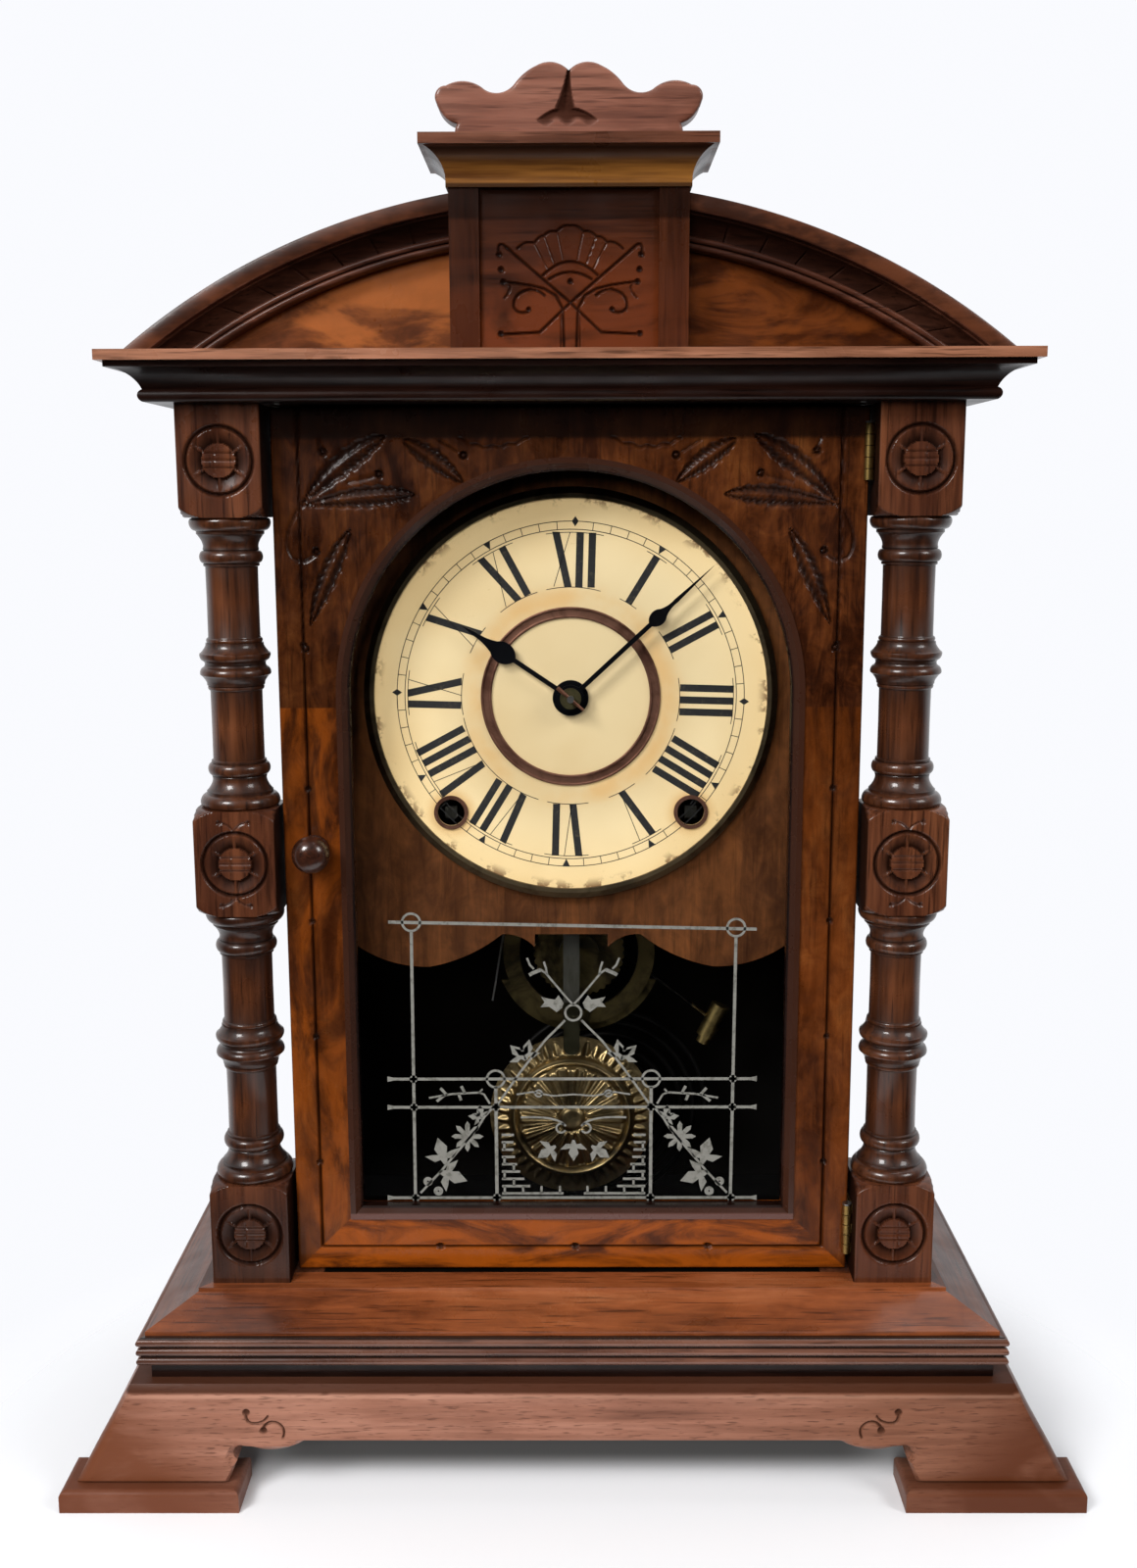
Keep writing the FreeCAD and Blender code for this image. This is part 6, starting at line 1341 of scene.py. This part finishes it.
def numeral_strokes(text):
    """Thick and thin strokes of a numeral as places at its foot and head, and its whole width."""
    total = sum(LETTER_WIDTHS[letter] for letter in text)
    thick, thin = [], []
    left = -total / 2
    for letter in text:
        wide = LETTER_WIDTHS[letter]
        centre = left + wide / 2
        lean = wide / 2 - THICK_STEM / 2 - 0.4
        if letter == "I":
            thick.append((centre, centre))
        if letter == "V":
            thick.append((centre + 0.3, centre - lean))
            thin.append((centre + 0.8, centre + lean + 0.6))
        if letter == "X":
            thick.append((centre + lean, centre - lean))
            thin.append((centre - lean - 0.3, centre + lean + 0.3))
        left += wide
    return thick, thin, total


def make_dial_print():
    sheets = Sheets()

    def put(points, angle):
        """Points of a numeral, across and up from its foot, at an angle clockwise from the top."""
        sine, cosine = math.sin(math.radians(angle)), math.cos(math.radians(angle))
        return [((NUMERAL_INNER + up) * sine + across * cosine,
                 DIAL_Z + (NUMERAL_INNER + up) * cosine - across * sine) for across, up in points]

    def line(path, width=HAIRLINE):
        ribbon(sheets, path, width, PLATE_LOW[1], INK_LIFT)

    for hour, text in enumerate(NUMERALS):
        angle = hour * 30 - PRINT_TURN
        thick, thin, total = numeral_strokes(text)
        for foot, head in thick:
            half = THICK_STEM / 2 * math.hypot(1, (head - foot) / NUMERAL_HEIGHT)
            corners = [(foot - half, 0), (foot + half, 0), (head + half, NUMERAL_HEIGHT),
                       (head - half, NUMERAL_HEIGHT)]
            patch(sheets, put(corners, angle), PLATE_LOW[1], INK_LIFT)
        for foot, head in thin:
            line(put([(foot, 0), (head, NUMERAL_HEIGHT)], angle))
        for level, reach in ((0.0, total / 2 + 1.4), (NUMERAL_HEIGHT, total / 2 + 2.0)):
            radius = NUMERAL_INNER + level
            spread = math.degrees(reach / radius)
            line(arc((0, DIAL_Z), radius, 90 - angle + spread, 90 - angle - spread, 14))
    for radius in (TRACK_INNER, TRACK_OUTER):
        line(arc((0, DIAL_Z), radius, 0, 360, 181), 0.3)
    track, base = TRACK_INNER - NUMERAL_INNER, TRACK_OUTER - NUMERAL_INNER
    for minute in range(60):
        angle = minute * 6 - PRINT_TURN
        if minute % 5:
            line(put([(0, track), (0, base)], angle))
            continue
        mark = [(0, track), (1.5, base + 0.15), (-1.5, base + 0.15)]
        if minute in (0, 15, 45):
            mark = [(0, base - 1.9), (1.3, base), (0, base + 1.9), (-1.3, base)]
        patch(sheets, put(mark, angle), PLATE_LOW[1], 2 * INK_LIFT)
    sheets.build("dial_print", ink_finish, "case", "dial_paint", sharp=30, weld=0.0001)


# Ornament on the glass. Lines give a width and points, rings a centre, radius and width, leaves a root,
# direction and size. The spray lies to both sides of the middle.

SILVER_LIFT = 0.05
GLASS_MIDDLE = 0.75
RAIL_RINGS_X = (-61.1, 62.4)
RAIL_LEVELS = ((152.5, -69.0, 69.4), (141.0, -69.2, 69.5), (103.6, -70.0, 70.2))
FRAME_LINES = (
    (1.25, (-69.5, 215.2), (70.5, 212.2)),
    (1.2, (-60.8, 211.5), (-61.3, 101.0)),
    (1.2, (62.7, 209.2), (62.1, 101.0)),
    (1.3, (-29.3, 149.3), (-29.3, 101.0)),
    (1.3, (30.8, 149.3), (30.8, 101.0)),
)
FRAME_RINGS = (
    ((-60.8, 215.1), 3.4, 0.9), ((62.7, 212.8), 3.4, 0.9), ((-29.3, 152.5), 3.4, 0.9),
    ((30.8, 152.5), 3.4, 0.9), ((-29.3, 103.6), 0.9, 1.6), ((30.8, 103.6), 0.9, 1.6),
    ((-29.3, 141.0), 0.9, 1.3), ((30.8, 141.0), 0.9, 1.3), ((GLASS_MIDDLE, 179.2), 3.1, 0.9),
)
SPRAY_LINES = (
    (0.9, (3.2, 176.2), (4.6, 174.6), (11.0, 168.0), (20.0, 156.0), (30.0, 141.4)),
    (0.8, (0.0, 182.4), (2.6, 185.2), (10.5, 195.0), (12.6, 196.5)),
    (0.8, (10.0, 194.4), (10.4, 197.0), (11.2, 199.5)),
    (1.4, (12.4, 196.3), (15.5, 195.0), (16.8, 194.2)),
    (0.8, (15.0, 196.6), (16.5, 198.2), (17.6, 201.0)),
    (0.9, (30.6, 141.6), (34.5, 137.2), (37.5, 132.2), (52.0, 114.5), (60.0, 105.6)),
    (0.8, (32.4, 142.4), (34.6, 146.2), (36.5, 147.0), (47.0, 146.4), (56.0, 144.8)),
    (0.7, (36.5, 147.0), (35.2, 148.4)),
    (1.1, (42.0, 146.7), (43.4, 149.6)),
    (1.1, (44.5, 146.5), (43.6, 143.8)),
    (1.1, (49.0, 146.0), (51.5, 148.8)),
    (1.1, (50.0, 145.9), (53.0, 143.4)),
    (0.8, *bezier((20.5, 136.8), (6.0, 137.6), (3.0, 133.2), 10)),
    (0.8, *arc((4.8, 132.4), 1.9, 130, -150, 12)),
    (0.7, (22.0, 146.2), (16.0, 147.2), (8.0, 145.6), (0.0, 146.2)),
)
SPRAY_RINGS = (((57.0, 110.4), 1.1, 1.5), ((53.0, 106.4), 1.1, 1.5), ((13.5, 146.6), 1.3, 0.7))
SPRAY_LEAVES = (
    ((18.4, 160.2), 100, 6.4), ((18.4, 160.2), 45, 6.4), ((35.5, 136.5), 80, 4.2), ((35.5, 136.5), 10, 4.2),
    ((50.0, 117.5), 75, 8.6), ((52.5, 114.5), 200, 8.8),
)
WING = ((3.6, 183.0), (5.6, 186.2), (7.0, 184.4), (9.4, 184.8), (12.4, 185.6), (11.0, 183.4), (12.6, 181.4),
        (9.2, 181.6), (6.4, 179.4), (4.4, 181.0))
HALF_LEAF = ((0.07, 0), (0.16, 0.26), (0.44, 0.22), (0.80, 0.60), (0.46, 0.58), (0.20, 0.52), (0.30, 0.82),
             (0, 1.32))
FLOWER_CENTRE = (41.3, 129.0)
FLOWER_RADII = (6.3, 4.725, 2.268, 5.04)
COURSE_COUNT = 8
COURSE_LOW = 105.4
COURSE_HEIGHT = 3.025
BRICK = 7.2
ARCH_MIDDLE_Z = 126.0
ARCH_HALF = 25.5
LOW_LEAVES = ((270, 0.0), (215, 8.5), (325, 8.5))
LOW_LEAVES_Z = 127.5


def leaf_outline(root, direction, size):
    """Five-lobed leaf on a root, pointing in a direction."""
    outline = [*mirror(HALF_LEAF), *HALF_LEAF[-2::-1]]
    up = np.array((math.cos(math.radians(direction)), math.sin(math.radians(direction))))
    out = np.array((up[1], -up[0]))
    return [np.array(root) + size * (a * out + b * up) for a, b in outline]


def make_glass_print():
    sheets = Sheets()

    def line(path, width):
        ribbon(sheets, path, width, GLASS_FRONT_Y, SILVER_LIFT)

    def ring(centre, radius, width):
        line(arc(centre, radius, 0, 360, 33), width)

    def shape(points):
        patch(sheets, points, GLASS_FRONT_Y, SILVER_LIFT)

    for width, *points in FRAME_LINES:
        line(points, width)
    for frame_ring in FRAME_RINGS:
        ring(*frame_ring)
    for level, left, right in RAIL_LEVELS:
        line([(left, level), (right, level)], 1.15)
        for place in RAIL_RINGS_X:
            ring((place, level), 0.9, 1.3)
        for end, push in ((left, -2.2), (right, 2.2)):
            tip = end + push
            shape([(end, level - 0.6), (tip, level - 1.1), (tip, level + 1.1), (end, level + 0.6)])
    for side in (-1, 1):
        def put(*points, side=side):
            return np.array(points, float) * (side, 1) + (GLASS_MIDDLE, 0)

        for width, *points in SPRAY_LINES:
            line(put(*points), width)
        for centre, radius, width in SPRAY_RINGS:
            ring(put(centre)[0], radius, width)
        for leaf in SPRAY_LEAVES:
            shape(put(*leaf_outline(*leaf)))
        shape(put(*WING))
        middle = put(FLOWER_CENTRE)[0]
        shape([middle + FLOWER_RADII[step % 4] * np.array((math.cos(angle), math.sin(angle)))
               for step, angle in enumerate(np.linspace(0, math.tau, 32, endpoint=False))])
        for course in range(COURSE_COUNT + 1):
            level = COURSE_LOW + COURSE_HEIGHT * course
            reach = 0.92 * math.sqrt(ARCH_HALF ** 2 - (level - ARCH_MIDDLE_Z) ** 2) if course else 4.0
            line(put((28.0, level), (reach, level)), 1.0)
            joints = np.arange(27.0 - BRICK / 2 * (course % 2), reach + 1.0, -BRICK)
            for place in joints if course < COURSE_COUNT else ():
                line(put((place, level), (place, level + COURSE_HEIGHT)), 0.9)
    for direction, reach in LOW_LEAVES:
        out, up = math.cos(math.radians(direction)), math.sin(math.radians(direction))
        shape(leaf_outline((GLASS_MIDDLE + reach * out, LOW_LEAVES_Z + 0.5 * reach * up), direction, 6.6))
    sheets.build("glass_ornament", frost_finish, "door", "glass", sharp=30, weld=0.0001)


WIRE_TOP = (-27.1, 20.0, 203.0)
WIRE_FOOT = (-32.4, 20.0, 170.7)
WIRE_RADIUS = 0.45


def make_release_wire():
    """Release wire of the strike, seen beside the lower ring."""
    start, end = Vector(WIRE_TOP), Vector(WIRE_FOOT)
    side = Vector((0, 1, 0))
    other = (end - start).normalized().cross(side)
    angles = np.linspace(0, math.tau, 10, endpoint=False)
    rows = []
    for share in np.linspace(0, 1, 6):
        centre = start.lerp(end, share)
        rows.append([tuple(centre + WIRE_RADIUS * (math.cos(a) * side + math.sin(a) * other))
                     for a in angles])
    sheets = Sheets()
    sheets.grid(np.array(rows), wrap=True)
    sheets.plate(rows[0])
    sheets.plate(rows[-1])
    sheets.build("strike_release_wire", steel, "case", "steel", sharp=50)


make_columns()
make_door()
make_tower_panel()
make_crest()
make_arches()
make_skirt()
make_centre_ring()
make_bob()
make_dial_print()
make_glass_print()
make_release_wire()


# Floor, light and camera

FLOOR_SHIFT = 0.06
FLOOR_CLEAR = 0.16
FLOOR_EDGE = 0.29
FLOOR_REACH = 1.2 * FLOOR_EDGE


def make_floor():
    """Pale round floor that fades out into the background, with a painted shadow under the arch of the skirt.
    """
    mat = Finish("floor")
    x, y, _ = mat.split()
    across = mat.span(mat.size(x), 0.105, 0.150, 1.0, 0.0)
    # Painted shadow under the arch of the skirt.
    under = mat.mul(mat.span(y, -0.050, -0.036), mat.span(y, 0.05, 0.09, 1.0, 0.0), across, 0.80)
    mat.set(Base_Color=mat.mix(under, (0.95, 0.955, 0.975), (0.05, 0.045, 0.035)), Roughness=0.6)
    mat.veil(mat.span(mat.far(x, mat.add(y, FLOOR_SHIFT)), FLOOR_CLEAR, FLOOR_EDGE))
    mesh = bpy.data.meshes.new("floor")
    corners = [(FLOOR_REACH * a, FLOOR_REACH * b, 0) for a, b in ((-1, -1), (1, -1), (1, 1), (-1, 1))]
    mesh.from_pydata(corners, [], [(0, 1, 2, 3)])
    mesh.materials.append(mat.material)
    floor = bpy.data.objects.new("floor", mesh)
    bpy.context.scene.collection.objects.link(floor)


def make_world():
    """White wall for the camera and for reflections from behind; a dimmer room in front."""
    world = bpy.data.worlds.new("studio")
    bpy.context.scene.world = world
    world.use_nodes = True
    world.node_tree.nodes.clear()
    sky = Nodes(world.node_tree, "Generated")
    sky.out = sky.node("OutputWorld")
    _, depth, up = sky.split()
    ray = sky.node("LightPath").outputs
    room = sky.span(depth, -0.25, 0.35, 0.02, 0.85)
    over = sky.span(up, 0.25, 0.9, 0.0, 0.22)
    strength = sky.mul(sky.maths("MAXIMUM", room, over), sky.mad(ray["Is Diffuse Ray"], -0.75, 1.0))
    lit = sky.node("Background", {"Color": (0.96, 0.97, 1.0), "Strength": strength})
    white = sky.node("Background", {"Color": (0.953, 0.962, 0.996), "Strength": 1.0})
    seen = sky.maths("MAXIMUM", ray["Is Camera Ray"], ray["Is Transmission Ray"])
    sky.blend(seen, lit.outputs[0], white.outputs[0])


LAMP_TARGET = (0, 0, 0.26)
# Place, size and power of each lamp
LAMPS = {
    "key": ((-1.15, -1.45, 1.55), (0.7, 0.7), 40),
    "fill": ((1.5, -1.0, 1.4), (0.7, 0.7), 15),
    "top": ((0.1, 0.2, 2.0), (1.2, 0.8), 9),
    "front": ((-0.35, -2.0, 0.9), (0.8, 0.8), 27),
}


def make_lamps():
    for name, (place, size, power) in LAMPS.items():
        lamp = bpy.data.lights.new(name, "AREA")
        lamp.shape = "RECTANGLE"
        lamp.size, lamp.size_y = size
        lamp.energy = power
        holder = bpy.data.objects.new(name, lamp)
        holder.location = place
        holder.rotation_euler = (Vector(LAMP_TARGET) - Vector(place)).to_track_quat("-Z", "Y").to_euler()
        holder.visible_glossy = name != "front"
        bpy.context.scene.collection.objects.link(holder)


CAMERA_PLACE = (0.001805, -0.61017, 0.372474)
CAMERA_PITCH = 0.1767
CAMERA_YAW = -0.0045
CAMERA_ROLL = -0.0029
FOCAL_PIXELS = 1616.82
PHOTO_HEIGHT = 1600.0
SENSOR = 36.0


def make_camera():
    data = bpy.data.cameras.new("camera")
    data.sensor_fit = "AUTO"
    data.sensor_width = SENSOR
    data.lens = FOCAL_PIXELS / PHOTO_HEIGHT * SENSOR
    data.clip_start = 0.01
    camera = bpy.data.objects.new("camera", data)
    forward = Vector((math.sin(CAMERA_YAW) * math.cos(CAMERA_PITCH),
                      math.cos(CAMERA_YAW) * math.cos(CAMERA_PITCH), -math.sin(CAMERA_PITCH)))
    right = Vector((math.cos(CAMERA_YAW), -math.sin(CAMERA_YAW), 0))
    up = right.cross(forward)
    turned_right = math.cos(CAMERA_ROLL) * right + math.sin(CAMERA_ROLL) * up
    turned_up = -math.sin(CAMERA_ROLL) * right + math.cos(CAMERA_ROLL) * up
    axes = Matrix((turned_right, turned_up, -forward)).transposed()
    camera.matrix_world = Matrix.Translation(CAMERA_PLACE) @ axes.to_4x4()
    bpy.context.scene.collection.objects.link(camera)
    bpy.context.scene.camera = camera


make_floor()
make_world()
make_lamps()
make_camera()
bpy.context.scene.view_settings.view_transform = "Standard"

bpy.context.view_layer.update()
